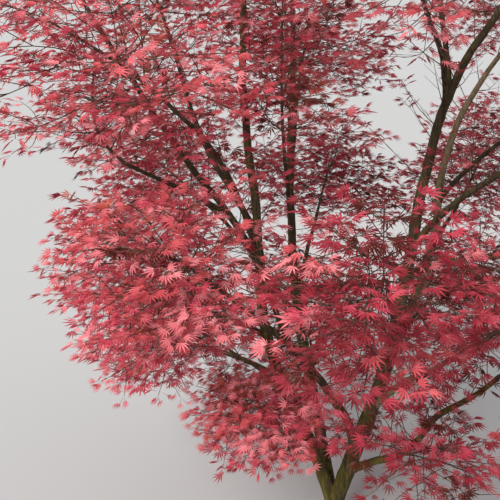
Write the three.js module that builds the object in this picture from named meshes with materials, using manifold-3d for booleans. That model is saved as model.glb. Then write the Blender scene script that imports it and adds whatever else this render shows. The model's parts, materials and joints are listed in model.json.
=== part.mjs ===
// A Japanese maple grown as a many-stemmed young tree, in millimetres.
// The origin is the centre of the flat cut under the trunk.
// +Z is up, -Y faces the viewer and +X is to the right.
// Headings are degrees turned from +X towards +Y, and leans are degrees from upright.

import * as THREE from "three";
import Module from "manifold-3d";

const wasm = await Module();
wasm.setup();

// Every two nodes that touch keep this much air between them.
const GAP = 0.3;

// A limb is run out in this many equal steps from its foot to its tip.
const LIMB_STEPS = 24;
const LIMB_RING_SPACING = 165;
const LEAST_LIMB_RINGS = 4;
const STEM_SIDES = 8;
const BOUGH_SIDES = 6;
const STEM_RADIUS_FROM = 14;

// A way is taken as too near to one axis to measure from when its share along that axis passes this.
const NEAR_X = 0.8;
const NEAR_UPRIGHT = 0.2;
const PARALLEL_BELOW = 1e-9;

// A bough swells into a collar where it leaves its parent.
const COLLAR_SWELL = 0.45;
const COLLAR_SHARE = 0.1;

// The stool: root flare on the ground, and the necks that the stems stand on.
const FLARE_RADIUS = 66;
const FLARE_TOP_RADIUS = 34;
const FLARE_HEIGHT = 78;
const FLARE_SIDES = 15;
const FLARE_RINGS = 3;
const ROOT_RIDGES = 5;
const ROOT_RIDGE_DEPTH = 0.17;
const FORK_HEIGHT = 52;
const NECK_LENGTH = 150;

// The joint of a neck and its stem is bridged this share of the stem's length to each side, to cut a bough.
const JOINT_BRIDGE = 0.004;

// The stems that stand on the stool.
// ways are [heading, lean] pairs spread evenly from foot to tip, and thick is the radius at foot and tip.
const STEMS = [
  {
    name: "west_stem",
    length: 2190,
    thick: [23, 8],
    ways: [[182, 15], [167, 28], [106, 7], [145, 10], [57, 4], [144, 6]],
  },
  {
    name: "east_stem",
    length: 2130,
    thick: [30, 8],
    ways: [[0, 17], [0, 19], [16, 11], [36, 10], [346, 13], [350, 35], [350, 3]],
  },
  {
    name: "north_stem",
    length: 2090,
    thick: [24, 8],
    ways: [[102, 38], [116, 25], [98, 16], [78, 12], [129, 6]],
  },
];

// The boughs. at is the place of the foot along the parent, 0 at the parent's foot and 1 at its tip.
const BOUGHS = [
  {
    name: "north_east_stem",
    parent: "east_stem",
    at: 0.24,
    length: 1410,
    thick: [20, 8],
    ways: [[48, 38], [40, 32], [73, 19], [26, 31], [26, 50]],
  },
  {
    name: "front_west_bough",
    parent: "east_stem",
    at: 0.1,
    length: 1040,
    thick: [17, 7],
    ways: [[271, 24], [223, 37], [227, 43], [216, 50], [226, 51]],
  },
  {
    name: "low_west_bough",
    parent: "west_stem",
    at: 0.24,
    length: 500,
    thick: [10, 6],
    ways: [[239, 53], [218, 61], [230, 68]],
  },
  {
    name: "high_west_bough",
    parent: "west_stem",
    at: 0.43,
    length: 990,
    thick: [13, 7],
    ways: [[208, 27], [194, 39], [209, 33], [210, 34]],
  },
  {
    name: "upper_west_bough",
    parent: "west_stem",
    at: 0.48,
    length: 880,
    thick: [12, 7],
    ways: [[132, 44], [142, 40], [127, 26], [130, 29]],
  },
  {
    name: "mossy_bough",
    parent: "east_stem",
    at: 0.19,
    length: 490,
    thick: [14, 7],
    ways: [[329, 36], [310, 56], [274, 56]],
  },
  {
    name: "low_east_bough",
    parent: "east_stem",
    at: 0.07,
    length: 780,
    thick: [15, 7],
    ways: [[333, 53], [311, 61], [314, 28], [313, 53], [308, 38]],
  },
  {
    name: "front_bough",
    parent: "east_stem",
    at: 0.28,
    length: 930,
    thick: [14, 6],
    ways: [[269, 37], [259, 58], [256, 67], [259, 61]],
  },
  {
    name: "west_bough",
    parent: "high_west_bough",
    at: 0.22,
    length: 410,
    thick: [9, 6],
    ways: [[200, 54], [202, 64], [202, 63]],
  },
  {
    name: "middle_west_bough",
    parent: "west_stem",
    at: 0.31,
    length: 470,
    thick: [10, 6],
    ways: [[184, 48], [190, 77], [189, 67]],
  },
  {
    name: "skirt_west_bough",
    parent: "west_stem",
    at: 0.11,
    length: 290,
    thick: [8, 5],
    ways: [[221, 42], [237, 49], [234, 60]],
  },
  {
    name: "skirt_south_bough",
    parent: "low_east_bough",
    at: 0.22,
    length: 260,
    thick: [8, 5],
    ways: [[288, 50], [272, 63], [274, 62]],
  },
  {
    name: "east_bough",
    parent: "east_stem",
    at: 0.42,
    length: 510,
    thick: [11, 6],
    ways: [[353, 52], [350, 80], [349, 84], [350, 68]],
  },
  {
    name: "inner_bough",
    parent: "east_stem",
    at: 0.7,
    length: 530,
    thick: [10, 6],
    ways: [[259, 35], [244, 48], [240, 59], [244, 59]],
  },
  {
    name: "far_east_bough",
    parent: "north_east_stem",
    at: 0.5,
    length: 570,
    thick: [10, 6],
    ways: [[3, 36], [350, 46], [347, 55], [351, 59]],
  },
  {
    name: "south_east_bough",
    parent: "east_stem",
    at: 0.47,
    length: 760,
    thick: [12, 6],
    ways: [[313, 36], [306, 52], [304, 62], [306, 60]],
  },
  {
    name: "skirt_north_east_bough",
    parent: "north_east_stem",
    at: 0.12,
    length: 300,
    thick: [9, 5],
    ways: [[52, 60], [56, 80], [55, 76]],
  },
  {
    name: "skirt_north_bough",
    parent: "north_stem",
    at: 0.14,
    length: 340,
    thick: [9, 5],
    ways: [[96, 52], [90, 58], [91, 62]],
  },
  {
    name: "skirt_north_west_bough",
    parent: "north_stem",
    at: 0.16,
    length: 460,
    thick: [10, 5],
    ways: [[148, 47], [162, 64], [159, 63]],
  },
  {
    name: "back_bough",
    parent: "north_stem",
    at: 0.36,
    length: 550,
    thick: [11, 6],
    ways: [[82, 43], [76, 53], [74, 61], [76, 60]],
  },
  {
    name: "back_west_bough",
    parent: "north_stem",
    at: 0.32,
    length: 660,
    thick: [12, 6],
    ways: [[139, 37], [147, 40], [150, 48], [147, 57]],
  },
  {
    name: "back_east_bough",
    parent: "north_east_stem",
    at: 0.34,
    length: 470,
    thick: [10, 6],
    ways: [[59, 53], [61, 76], [61, 67]],
  },
  {
    name: "high_back_bough",
    parent: "north_stem",
    at: 0.6,
    length: 550,
    thick: [11, 6],
    ways: [[82, 33], [80, 32], [80, 41], [81, 56]],
  },
  {
    name: "south_west_bough",
    parent: "front_west_bough",
    at: 0.62,
    length: 830,
    thick: [9, 6],
    ways: [[220, 30], [221, 20], [221, 25], [221, 54]],
  },
  {
    name: "centre_bough",
    parent: "north_stem",
    at: 0.5,
    length: 480,
    thick: [10, 6],
    ways: [[262, 36], [262, 45], [262, 50]],
  },
  {
    name: "top_bough",
    parent: "east_stem",
    at: 0.72,
    length: 900,
    thick: [10, 6],
    ways: [[120, 10], [155, 11], [158, 16], [155, 10]],
  },
];

// The masses of foliage: the limb each grows on from, the middle of its own space and its reach sideways.
const MASSES = [
  { name: "crown_west_foliage", limb: "west_stem", centre: [-400, 140, 2460], reach: 480 },
  { name: "crown_east_foliage", limb: "east_stem", centre: [620, -60, 2380], reach: 480 },
  { name: "crown_north_east_foliage", limb: "north_east_stem", centre: [760, 620, 1980], reach: 460 },
  { name: "crown_north_foliage", limb: "north_stem", centre: [-160, 680, 2280], reach: 480 },
  { name: "south_west_foliage", limb: "front_west_bough", centre: [-480, -660, 1130], reach: 370 },
  { name: "low_west_foliage", limb: "low_west_bough", centre: [-570, -340, 860], reach: 290 },
  { name: "high_west_foliage", limb: "high_west_bough", centre: [-860, -120, 1980], reach: 430 },
  { name: "upper_west_foliage", limb: "upper_west_bough", centre: [-680, 560, 1920], reach: 460 },
  { name: "south_low_east_foliage", limb: "mossy_bough", centre: [420, -620, 980], reach: 390 },
  { name: "low_east_foliage", limb: "low_east_bough", centre: [640, -520, 700], reach: 360 },
  { name: "front_foliage", limb: "front_bough", centre: [-30, -940, 1130], reach: 320 },
  { name: "west_foliage", limb: "west_bough", centre: [-740, -160, 1540], reach: 370 },
  { name: "middle_west_foliage", limb: "middle_west_bough", centre: [-700, -40, 990], reach: 350 },
  { name: "skirt_south_west_foliage", limb: "skirt_west_bough", centre: [-260, -290, 590], reach: 280 },
  { name: "skirt_south_foliage", limb: "skirt_south_bough", centre: [200, -460, 520], reach: 320 },
  { name: "east_foliage", limb: "east_bough", centre: [920, -100, 1120], reach: 430 },
  { name: "front_high_foliage", limb: "inner_bough", centre: [80, -540, 1980], reach: 440 },
  { name: "far_east_foliage", limb: "far_east_bough", centre: [1000, 160, 1640], reach: 430 },
  { name: "south_east_foliage", limb: "south_east_bough", centre: [720, -620, 1580], reach: 430 },
  { name: "skirt_north_east_foliage", limb: "skirt_north_east_bough", centre: [520, 480, 740], reach: 390 },
  { name: "skirt_north_foliage", limb: "skirt_north_bough", centre: [-60, 620, 600], reach: 390 },
  { name: "skirt_north_west_foliage", limb: "skirt_north_west_bough", centre: [-580, 400, 660], reach: 390 },
  { name: "back_foliage", limb: "back_bough", centre: [40, 980, 1140], reach: 430 },
  { name: "back_west_foliage", limb: "back_west_bough", centre: [-660, 680, 1220], reach: 430 },
  { name: "back_east_foliage", limb: "back_east_bough", centre: [660, 740, 1220], reach: 430 },
  { name: "high_back_foliage", limb: "high_back_bough", centre: [-60, 1020, 1740], reach: 430 },
  { name: "south_west_high_foliage", limb: "south_west_bough", centre: [-620, -660, 1620], reach: 400 },
  { name: "centre_foliage", limb: "centre_bough", centre: [-200, -40, 1720], reach: 400 },
  { name: "top_foliage", limb: "top_bough", centre: [140, 120, 2640], reach: 470 },
];

// A mass spreads this many times farther sideways than upward, and keeps this far inside its own space.
const SPREAD_OVER_HEIGHT = 1.2;
const SPACE_MARGIN = 3;

// Twigs stand in opposite pairs along the stem of a mass, each pair a quarter turn round from the last.
const PAIRS = 4;
const FIRST_PAIR_AT = 0.22;
const LAST_PAIR_AT = 0.86;
const PAIR_ANGLE = 60;
const ANGLE_JITTER = 14;
const STEM_ROLL_JITTER = 25;
const STEM_PAST_MIDDLE = 0.42;
const STEM_BOW = 0.4;
const STEM_RINGS_AT = [0, 0.4, 0.72, 1];
const TWIG_SIDES = 4;
const TWIG_DROOP = 0.22;
const TWIG_LEAST = 40;
const TWIG_STOPS_SHORT = 0.72;
const TWIG_STOP_JITTER = 0.2;
const TWIG_BENDS_FROM = 160;
const STEM_TIP_RADIUS = 5.6;
const TWIG_TIP_RADIUS = 3.4;
const TWIG_OF_STEM = 0.66;
const TWIG_ROLL_JITTER = 40;
const FEELER = 10;
const LIMB_CLEARANCE = 3;

// A leaf stands for a spray, so it is larger than one real leaf.
// Its length runs from stalk to tip, and back is how far its pair stands from the end of the twig.
const LEAF_LENGTH = 220;
const LEAF_LENGTH_JITTER = 0.12;
const LEAF_THICK = 4;
const LEAF_SUNK = 2.5;
const LEAF_SPACING = 0.48;
const LEAF_PAIR_ANGLE = 68;
const LEAF_PAIR_BACK = 45;
const LEAF_PAIR_STEP = 100;
const LEAF_PAIR_LEAST_BACK = 11.25;
const LEAF_FACES_OUT = 0.75;
const LEAF_FACES_UP = 0.6;
const LEAF_TILT = 0.5;

// A leaf that does not fit is tried again with another tilt, each time this share of the full size.
const LEAF_TRIES = [1, 0.9, 0.8, 0.7, 0.62];

// The outline of a leaf with three lobes, as shares of its length: along the leaf and across it.
const LEAF_OUTLINE = [[0, 0], [0.5, -0.4], [0.54, -0.16], [1, 0], [0.54, 0.16], [0.5, 0.4]];
const LEAF_HALF_WIDTH = 0.4;
const LEAF_THICKEST_AT = 0.14;

// The flat underside of a leaf, as triangles between the corners of its outline.
const LEAF_UNDERSIDE = [[0, 5, 1], [1, 5, 4], [1, 4, 2], [2, 4, 3]];

// Faces are one plane, and edges one line, when the cosine between them is above this.
const SAME_PLANE = 0.99995;
const SAME_LINE = 0.9999;
const LEAST_FACE = 0.02;

// A corner can be drawn onto its neighbour when their fans share the two and one more on each side.
const SHARED_CORNERS = 4;

const SEED = 1000;

const UP = new THREE.Vector3(0, 0, 1);

// A small repeatable source of numbers from 0 to 1.
function seeded(seed) {
  let state = seed >>> 0;
  return () => {
    state = (state + 0x6d2b79f5) >>> 0;
    let mixed = Math.imul(state ^ (state >>> 15), 1 | state);
    mixed = (mixed + Math.imul(mixed ^ (mixed >>> 7), 61 | mixed)) ^ mixed;
    return ((mixed ^ (mixed >>> 14)) >>> 0) / 4294967296;
  };
}

function radians(degrees) {
  return (degrees * Math.PI) / 180;
}

function wayVector([heading, lean]) {
  const side = Math.sin(radians(lean));
  const x = side * Math.cos(radians(heading));
  const y = side * Math.sin(radians(heading));
  return new THREE.Vector3(x, y, Math.cos(radians(lean)));
}

// The centre line of a limb: its direction passes smoothly from one way to the next.
function runOut(start, ways, length) {
  const vectors = ways.map(wayVector);
  const step = length / LIMB_STEPS;
  const points = [start.clone()];
  for (let i = 0; i < LIMB_STEPS; i += 1) {
    const t = ((i + 0.5) / LIMB_STEPS) * (vectors.length - 1);
    const k = Math.min(Math.floor(t), vectors.length - 2);
    const way = vectors[k].clone().lerp(vectors[k + 1], t - k).normalize();
    points.push(points[i].clone().addScaledVector(way, step));
  }
  return points;
}

function pointAt(points, share) {
  const t = share * (points.length - 1);
  const k = Math.min(Math.floor(t), points.length - 2);
  return points[k].clone().lerp(points[k + 1], t - k);
}

// The radius tapers evenly, and a bough also swells towards its foot.
function radiusAt(limb, share) {
  const taper = THREE.MathUtils.lerp(limb.thick[0], limb.thick[1], share);
  const collar = limb.parent ? COLLAR_SWELL * Math.max(0, 1 - share / COLLAR_SHARE) ** 2 : 0;
  return taper * (1 + collar);
}

// Frames that are carried along a line without twisting.
// They start from a first side and a first way where these are given.
function carriedFrames(points, firstSide, firstWay) {
  const frames = [];
  let side = firstSide;
  for (let i = 0; i < points.length; i += 1) {
    const before = points[Math.max(0, i - 1)];
    const after = points[Math.min(points.length - 1, i + 1)];
    const along = i === 0 && firstWay ? firstWay : after.clone().sub(before).normalize();
    if (!side) {
      side = Math.abs(along.x) < NEAR_X ? new THREE.Vector3(1, 0, 0) : new THREE.Vector3(0, 1, 0);
    }
    side = side.clone().addScaledVector(along, -side.dot(along)).normalize();
    frames.push({ along, side, across: along.clone().cross(side) });
  }
  return frames;
}

function solidFrom(vertices, triangles) {
  const mesh = new wasm.Mesh({
    numProp: 3,
    vertProperties: new Float32Array(vertices.flat()),
    triVerts: new Uint32Array(triangles.flat()),
  });
  return new wasm.Manifold(mesh);
}

// A closed solid through rings of equal counts, the first and last ring closed by flat fans.
function loft(rings) {
  const sides = rings[0].length;
  const triangles = [];
  for (let r = 0; r + 1 < rings.length; r += 1) {
    for (let s = 0; s < sides; s += 1) {
      const next = (s + 1) % sides;
      const a = r * sides + s;
      const b = r * sides + next;
      triangles.push([a, b, b + sides], [a, b + sides, a + sides]);
    }
  }
  const last = (rings.length - 1) * sides;
  for (let s = 1; s + 1 < sides; s += 1) {
    triangles.push([0, s + 1, s], [last, last + s, last + s + 1]);
  }
  return solidFrom(rings.flat().map((p) => p.toArray()), triangles);
}

// A tapering tube. The middle of one of its flats faces the given side.
function tube(points, radii, sides, firstSide, firstWay) {
  const frames = carriedFrames(points, firstSide, firstWay);
  const rings = points.map((point, i) => {
    const ring = [];
    for (let s = 0; s < sides; s += 1) {
      const turn = (2 * Math.PI * (s + 0.5)) / sides;
      const offset = frames[i].side.clone().multiplyScalar(radii[i] * Math.cos(turn));
      offset.addScaledVector(frames[i].across, radii[i] * Math.sin(turn));
      ring.push(point.clone().add(offset));
    }
    return ring;
  });
  return loft(rings);
}

// The places of the rings of a limb, as shares of its length.
function ringShares(limb, from, to) {
  const rings = Math.max(LEAST_LIMB_RINGS, Math.ceil(((to - from) * limb.length) / LIMB_RING_SPACING));
  return Array.from({ length: rings + 1 }, (_, i) => THREE.MathUtils.lerp(from, to, i / rings));
}

// The limb between two shares of its length, grown thicker all round by extra.
// A stem starts square to the way that its neck ends in, so the two faces of the joint are parallel.
function limbSolid(limb, from, to, extra) {
  const shares = ringShares(limb, from, to);
  const points = shares.map((share) => pointAt(limb.points, share));
  const radii = shares.map((share) => radiusAt(limb, share) + extra);
  const sides = limb.thick[0] > STEM_RADIUS_FROM ? STEM_SIDES : BOUGH_SIDES;
  return tube(points, radii, sides, undefined, from > 0 ? endWay(limb, 0, from) : undefined);
}

// The way that the end of a limb faces, when it runs between two shares of its length.
function endWay(limb, from, to) {
  const shares = ringShares(limb, from, to);
  return pointAt(limb.points, to).sub(pointAt(limb.points, shares[shares.length - 2])).normalize();
}

// The root flare: a short bell with rounded ridges where the main roots leave, cut flat on the ground.
function flareSolid(extra) {
  const rings = [];
  for (let r = 0; r <= FLARE_RINGS; r += 1) {
    const rise = r / FLARE_RINGS;
    const fall = (1 - rise) ** 2;
    const base = FLARE_TOP_RADIUS + (FLARE_RADIUS - FLARE_TOP_RADIUS) * fall;
    const ring = [];
    for (let s = 0; s < FLARE_SIDES; s += 1) {
      const turn = (2 * Math.PI * s) / FLARE_SIDES;
      const ridge = 1 + ROOT_RIDGE_DEPTH * fall * Math.cos(ROOT_RIDGES * turn);
      const radius = base * ridge + extra;
      ring.push(new THREE.Vector3(radius * Math.cos(turn), radius * Math.sin(turn), rise * FLARE_HEIGHT));
    }
    rings.push(ring);
  }
  return loft(rings);
}

// The stool: the flare and one neck for every stem, grown thicker all round by extra.
function trunkSolid(stems, extra) {
  const necks = stems.map((stem) => limbSolid(stem, 0, stem.from - GAP / stem.length, extra));
  return wasm.Manifold.union([flareSolid(extra), ...necks]);
}

// The piece of a solid with the most in it, where a cut has left a chip behind.
function largestBody(solid) {
  const bodies = solid.decompose();
  return bodies.reduce((best, body) => (body.volume() > best.volume() ? body : best));
}

// A stem is cut back to one gap from the stool.
function stemSolid(stem, stool) {
  return largestBody(limbSolid(stem, stem.from, 1, 0).subtract(stool));
}

// A bough starts inside its parent and is cut back to one gap from it and from the stool.
// The joint between a stem and its neck is bridged, so that no fin of the bough is left in it.
function boughSolid(bough, parent, stool) {
  const cuts = [limbSolid(parent, parent.from, 1, GAP)];
  if (parent.from > 0) {
    cuts.push(limbSolid(parent, parent.from - JOINT_BRIDGE, parent.from + JOINT_BRIDGE, GAP), stool);
  }
  return largestBody(limbSolid(bough, 0, 1, 0).subtract(wasm.Manifold.union(cuts)));
}

// Every limb by name, each with its centre line and the share of it at which the limb starts.
function growLimbs() {
  const limbs = new Map();
  const fork = new THREE.Vector3(0, 0, FORK_HEIGHT);
  for (const stem of STEMS) {
    const from = (NECK_LENGTH + GAP) / stem.length;
    limbs.set(stem.name, { ...stem, from, points: runOut(fork, stem.ways, stem.length) });
  }
  for (const bough of BOUGHS) {
    const foot = pointAt(limbs.get(bough.parent).points, bough.at);
    limbs.set(bough.name, { ...bough, from: 0, points: runOut(foot, bough.ways, bough.length) });
  }
  return limbs;
}

// Distances in a space that is stretched upward, so that a flattened mass measures as a ball.
function stretched(from, to) {
  return Math.hypot(to.x - from.x, to.y - from.y, (to.z - from.z) * SPREAD_OVER_HEIGHT);
}

// Whether a point lies in the own space of a mass: within its reach, and on its own side of every neighbour.
function inOwnSpace(point, mass, masses) {
  const own = stretched(mass.middle, point);
  if (own > mass.reach - SPACE_MARGIN) {
    return false;
  }
  for (const other of masses) {
    if (other === mass) {
      continue;
    }
    const apart = stretched(mass.middle, other.middle);
    if (apart > mass.reach + other.reach) {
      continue;
    }
    const theirs = stretched(other.middle, point);
    const lead = theirs * theirs - other.reach * other.reach - (own * own - mass.reach * mass.reach);
    if (lead < 2 * apart * SPACE_MARGIN) {
      return false;
    }
  }
  return true;
}

// The shortest distance between two straight pieces.
function pieceDistance(a, b, c, d) {
  const u = b.clone().sub(a);
  const v = d.clone().sub(c);
  const w = a.clone().sub(c);
  const uu = u.dot(u);
  const uv = u.dot(v);
  const vv = v.dot(v);
  const uw = u.dot(w);
  const vw = v.dot(w);
  const area = uu * vv - uv * uv;
  let s = area > PARALLEL_BELOW ? (uv * vw - vv * uw) / area : 0;
  s = Math.min(1, Math.max(0, s));
  let t = (uv * s + vw) / vv;
  t = Math.min(1, Math.max(0, t));
  s = (uv * t - uw) / uu;
  s = Math.min(1, Math.max(0, s));
  return a.clone().addScaledVector(u, s).distanceTo(c.clone().addScaledVector(v, t));
}

// Whether a straight piece of some radius keeps clear of every limb in the list.
function clearOfLimbs(a, b, radius, pieces) {
  return pieces.every((piece) => {
    const least = radius + piece.radius + LIMB_CLEARANCE;
    return pieceDistance(a, b, piece.from, piece.to) > least;
  });
}

// The corners of a leaf: its outline, then the top of its ridge, which stands close to the stalk.
function leafCorners(leaf) {
  const across = leaf.normal.clone().cross(leaf.along);
  const corners = LEAF_OUTLINE.map(([x, y]) => leaf.root.clone()
    .addScaledVector(leaf.along, x * leaf.length)
    .addScaledVector(across, y * leaf.length));
  const ridge = leaf.root.clone().addScaledVector(leaf.along, LEAF_THICKEST_AT * leaf.length);
  corners.push(ridge.addScaledVector(leaf.normal, LEAF_THICK));
  return corners;
}

// A leaf is flat below and rises to its ridge above.
function leafSolid(leaf) {
  const ridge = LEAF_OUTLINE.length;
  const triangles = [...LEAF_UNDERSIDE];
  for (let i = 0; i < ridge; i += 1) {
    triangles.push([i, (i + 1) % ridge, ridge]);
  }
  return solidFrom(leaf.corners.map((p) => p.toArray()), triangles);
}

// A leaf is kept where all its corners lie in the own space of its mass,
// it has room among its neighbours and no limb or other twig is near.
function leafFits(leaf, mass, growth) {
  const room = LEAF_SPACING * leaf.length;
  if (growth.leaves.some((other) => other.middle.distanceTo(leaf.middle) < room)) {
    return false;
  }
  if (!leaf.corners.every((corner) => inOwnSpace(corner, mass, growth.masses))) {
    return false;
  }
  if (growth.leaves.some((other) => leavesCross(leaf, other))) {
    return false;
  }
  const others = growth.twigs.filter((twig) => twig !== leaf.twig);
  if (others.some((twig) => twigPieces(twig).some((piece) => crossesLeaf(piece, leaf)))) {
    return false;
  }
  return growth.pieces.every((piece) => {
    const least = piece.radius + LIMB_CLEARANCE;
    const { from, to } = piece;
    const clear = leafEdges(leaf).every((edge) => pieceDistance(edge.from, edge.to, from, to) > least);
    return clear && !crossesLeaf(piece, leaf);
  });
}

function leafEdges(leaf) {
  const round = [...leaf.corners.slice(0, LEAF_OUTLINE.length), leaf.root];
  return round.slice(1).map((to, i) => ({ from: round[i], to, radius: 0 }));
}

function twigPieces(twig) {
  return twig.points.slice(1).map((to, i) => ({ from: twig.points[i], to, radius: twig.radii[i] }));
}

function leavesCross(leaf, other) {
  if (leafEdges(leaf).some((edge) => crossesLeaf(edge, other))) {
    return true;
  }
  return leafEdges(other).some((edge) => crossesLeaf(edge, leaf));
}

// Whether a straight piece passes through the plate of a leaf, which widens evenly from its stalk.
function crossesLeaf(piece, leaf) {
  const from = piece.from.clone().sub(leaf.root).dot(leaf.normal);
  const to = piece.to.clone().sub(leaf.root).dot(leaf.normal);
  if (from * to > 0) {
    return false;
  }
  const hit = piece.from.clone().lerp(piece.to, from / (from - to)).sub(leaf.root);
  const across = leaf.normal.clone().cross(leaf.along);
  const x = hit.dot(leaf.along) / leaf.length;
  const y = Math.abs(hit.dot(across)) / leaf.length;
  const slack = (piece.radius + LIMB_CLEARANCE) / leaf.length;
  const widest = Math.min(LEAF_HALF_WIDTH, Math.max(0, x));
  return x > -slack && x < 1 + slack && y < widest + slack;
}

// How far a twig can run from a point before it leaves the own space.
function roomAhead(point, way, mass, growth) {
  let room = 0;
  while (room < 2 * mass.reach) {
    const feeler = point.clone().addScaledVector(way, room + FEELER);
    if (!inOwnSpace(feeler, mass, growth.masses)) {
      break;
    }
    room += FEELER;
  }
  return room;
}

// A level direction square to a way, rolled about the way by some degrees.
function sideOf(way, roll) {
  const level = UP.clone().cross(way);
  if (level.length() < NEAR_UPRIGHT) {
    level.set(1, 0, 0).cross(way);
  }
  level.normalize();
  const upright = way.clone().cross(level);
  return turnAside(level, upright, roll);
}

// Turns a way aside by an angle, towards a direction square to it.
function turnAside(way, side, angle) {
  const turned = way.clone().multiplyScalar(Math.cos(radians(angle)));
  return turned.addScaledVector(side, Math.sin(radians(angle)));
}

// A repeatable number between -size and size.
function jitter(random, size) {
  return (random() - 0.5) * 2 * size;
}

// A leaf faces up and out of the crown, with some tilt of its own.
function addLeaf(root, way, twig, mass, growth, random) {
  const outward = root.clone().sub(mass.middle).normalize();
  for (const share of LEAF_TRIES) {
    const normal = UP.clone().multiplyScalar(LEAF_FACES_UP).addScaledVector(outward, LEAF_FACES_OUT);
    normal.x += jitter(random, LEAF_TILT);
    normal.y += jitter(random, LEAF_TILT);
    normal.z += jitter(random, LEAF_TILT);
    normal.addScaledVector(way, -normal.dot(way)).normalize();
    const length = LEAF_LENGTH * share * (1 + jitter(random, LEAF_LENGTH_JITTER));
    const leaf = { twig, root, along: way, normal, length };
    leaf.middle = root.clone().addScaledVector(way, leaf.length / 2);
    leaf.corners = leafCorners(leaf);
    if (leafFits(leaf, mass, growth)) {
      growth.leaves.push(leaf);
      return;
    }
  }
}

// One leaf goes straight on from the end of a twig.
function addEndLeaf(twig, mass, growth, random) {
  const [from, end] = twig.points.slice(-2);
  const way = end.clone().sub(from).normalize();
  addLeaf(end.clone().addScaledVector(way, -LEAF_SUNK), way, twig, mass, growth, random);
}

// Opposite pairs of leaves stand at even steps back from the end of a twig.
function addLeafPairs(twig, mass, growth, random) {
  const last = twig.points.length - 1;
  const [from, end] = twig.points.slice(-2);
  const way = end.clone().sub(from).normalize();
  const side = carriedFrames(twig.points, twig.side, twig.firstWay)[last].side;
  const run = end.distanceTo(from);
  for (let back = LEAF_PAIR_BACK; back < run - LEAF_PAIR_LEAST_BACK; back += LEAF_PAIR_STEP) {
    const node = end.clone().addScaledVector(way, -back);
    for (const turn of [LEAF_PAIR_ANGLE, -LEAF_PAIR_ANGLE]) {
      addLeaf(node, turnAside(way, side, turn), twig, mass, growth, random);
    }
  }
}

// A side twig: it runs out until a leaf still fits before the edge, and a long one droops on the way.
function addTwig(foot, way, footRadius, mass, growth, random) {
  const room = roomAhead(foot, way, mass, growth);
  const short = LEAF_LENGTH * (TWIG_STOPS_SHORT + TWIG_STOP_JITTER * random());
  const length = Math.max(TWIG_LEAST, room - short);
  const side = sideOf(way, jitter(random, TWIG_ROLL_JITTER));
  const droop = TWIG_DROOP * random();
  const middle = foot.clone().addScaledVector(way, length / 2);
  const bent = way.clone().addScaledVector(UP, -droop).normalize();
  const bends = length > TWIG_BENDS_FROM;
  const end = middle.clone().addScaledVector(bends ? bent : way, length / 2);
  const halves = [[foot, middle], [middle, end]];
  const clear = halves.every(([a, b]) => clearOfLimbs(a, b, footRadius, growth.pieces));
  if (!clear || ![middle, end].every((point) => inOwnSpace(point, mass, growth.masses))) {
    return;
  }
  const points = bends ? [foot, middle, end] : [foot, end];
  const shares = bends ? [0, 0.5, 1] : [0, 1];
  const radii = shares.map((share) => THREE.MathUtils.lerp(footRadius, TWIG_TIP_RADIUS, share));
  growth.twigs.push({ points, radii, side });
}

// The stem of a mass: it goes on from the tip of its limb and bends through the middle to the far side.
function massStem(mass, limb) {
  const tip = limb.points[LIMB_STEPS];
  const way = endWay(limb, limb.from, 1);
  const start = tip.clone().addScaledVector(way, GAP);
  const onward = mass.middle.clone().sub(start).normalize();
  const end = mass.middle.clone().addScaledVector(onward, STEM_PAST_MIDDLE * mass.reach);
  end.z = mass.middle.z + (end.z - mass.middle.z) / SPREAD_OVER_HEIGHT;
  const elbow = start.clone().addScaledVector(way, start.distanceTo(end) * STEM_BOW);
  const curve = new THREE.QuadraticBezierCurve3(start, elbow, end);
  return { curve, way, radius: limb.thick[1] };
}

// Grows one mass: its stem, the pairs of twigs along it, and the leaves that fit.
function growMass(mass, limb, masses, pieces, seed) {
  const random = seeded(seed);
  const growth = { masses, pieces, twigs: [], leaves: [] };
  const { curve, way: firstWay, radius } = massStem(mass, limb);
  const points = STEM_RINGS_AT.map((t) => curve.getPoint(t));
  const radii = STEM_RINGS_AT.map((t) => THREE.MathUtils.lerp(radius, STEM_TIP_RADIUS, t));
  const stem = { points, radii, firstWay, side: sideOf(firstWay, jitter(random, STEM_ROLL_JITTER)) };
  growth.twigs.push(stem);
  const frames = carriedFrames(points, stem.side, firstWay);
  for (let i = 0; i < PAIRS; i += 1) {
    const share = THREE.MathUtils.lerp(FIRST_PAIR_AT, LAST_PAIR_AT, i / (PAIRS - 1));
    const k = STEM_RINGS_AT.findIndex((t) => t > share) - 1;
    const along = (share - STEM_RINGS_AT[k]) / (STEM_RINGS_AT[k + 1] - STEM_RINGS_AT[k]);
    const node = points[k].clone().lerp(points[k + 1], along);
    const way = points[k + 1].clone().sub(points[k]).normalize();
    const side = (i % 2 === 0 ? frames[k].side : frames[k].across).clone();
    side.addScaledVector(way, -side.dot(way)).normalize();
    const footRadius = TWIG_OF_STEM * THREE.MathUtils.lerp(radius, STEM_TIP_RADIUS, share);
    for (const turn of [PAIR_ANGLE, -PAIR_ANGLE]) {
      const aside = turnAside(way, side, turn + jitter(random, ANGLE_JITTER));
      addTwig(node, aside, footRadius, mass, growth, random);
    }
  }
  growth.twigs.forEach((twig) => addEndLeaf(twig, mass, growth, random));
  growth.twigs.forEach((twig) => addLeafPairs(twig, mass, growth, random));
  return growth;
}

// The stem, twigs and leaves of a mass joined in one solid.
function foliageSolid(growth) {
  const twigs = growth.twigs.map(({ points, radii, side, firstWay }) => (
    tube(points, radii, TWIG_SIDES, side, firstWay)
  ));
  return largestBody(wasm.Manifold.union([...twigs, ...growth.leaves.map(leafSolid)]));
}

function faceNormal(points, [a, b, c]) {
  return points[b].clone().sub(points[a]).cross(points[c].clone().sub(points[a]));
}

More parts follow.
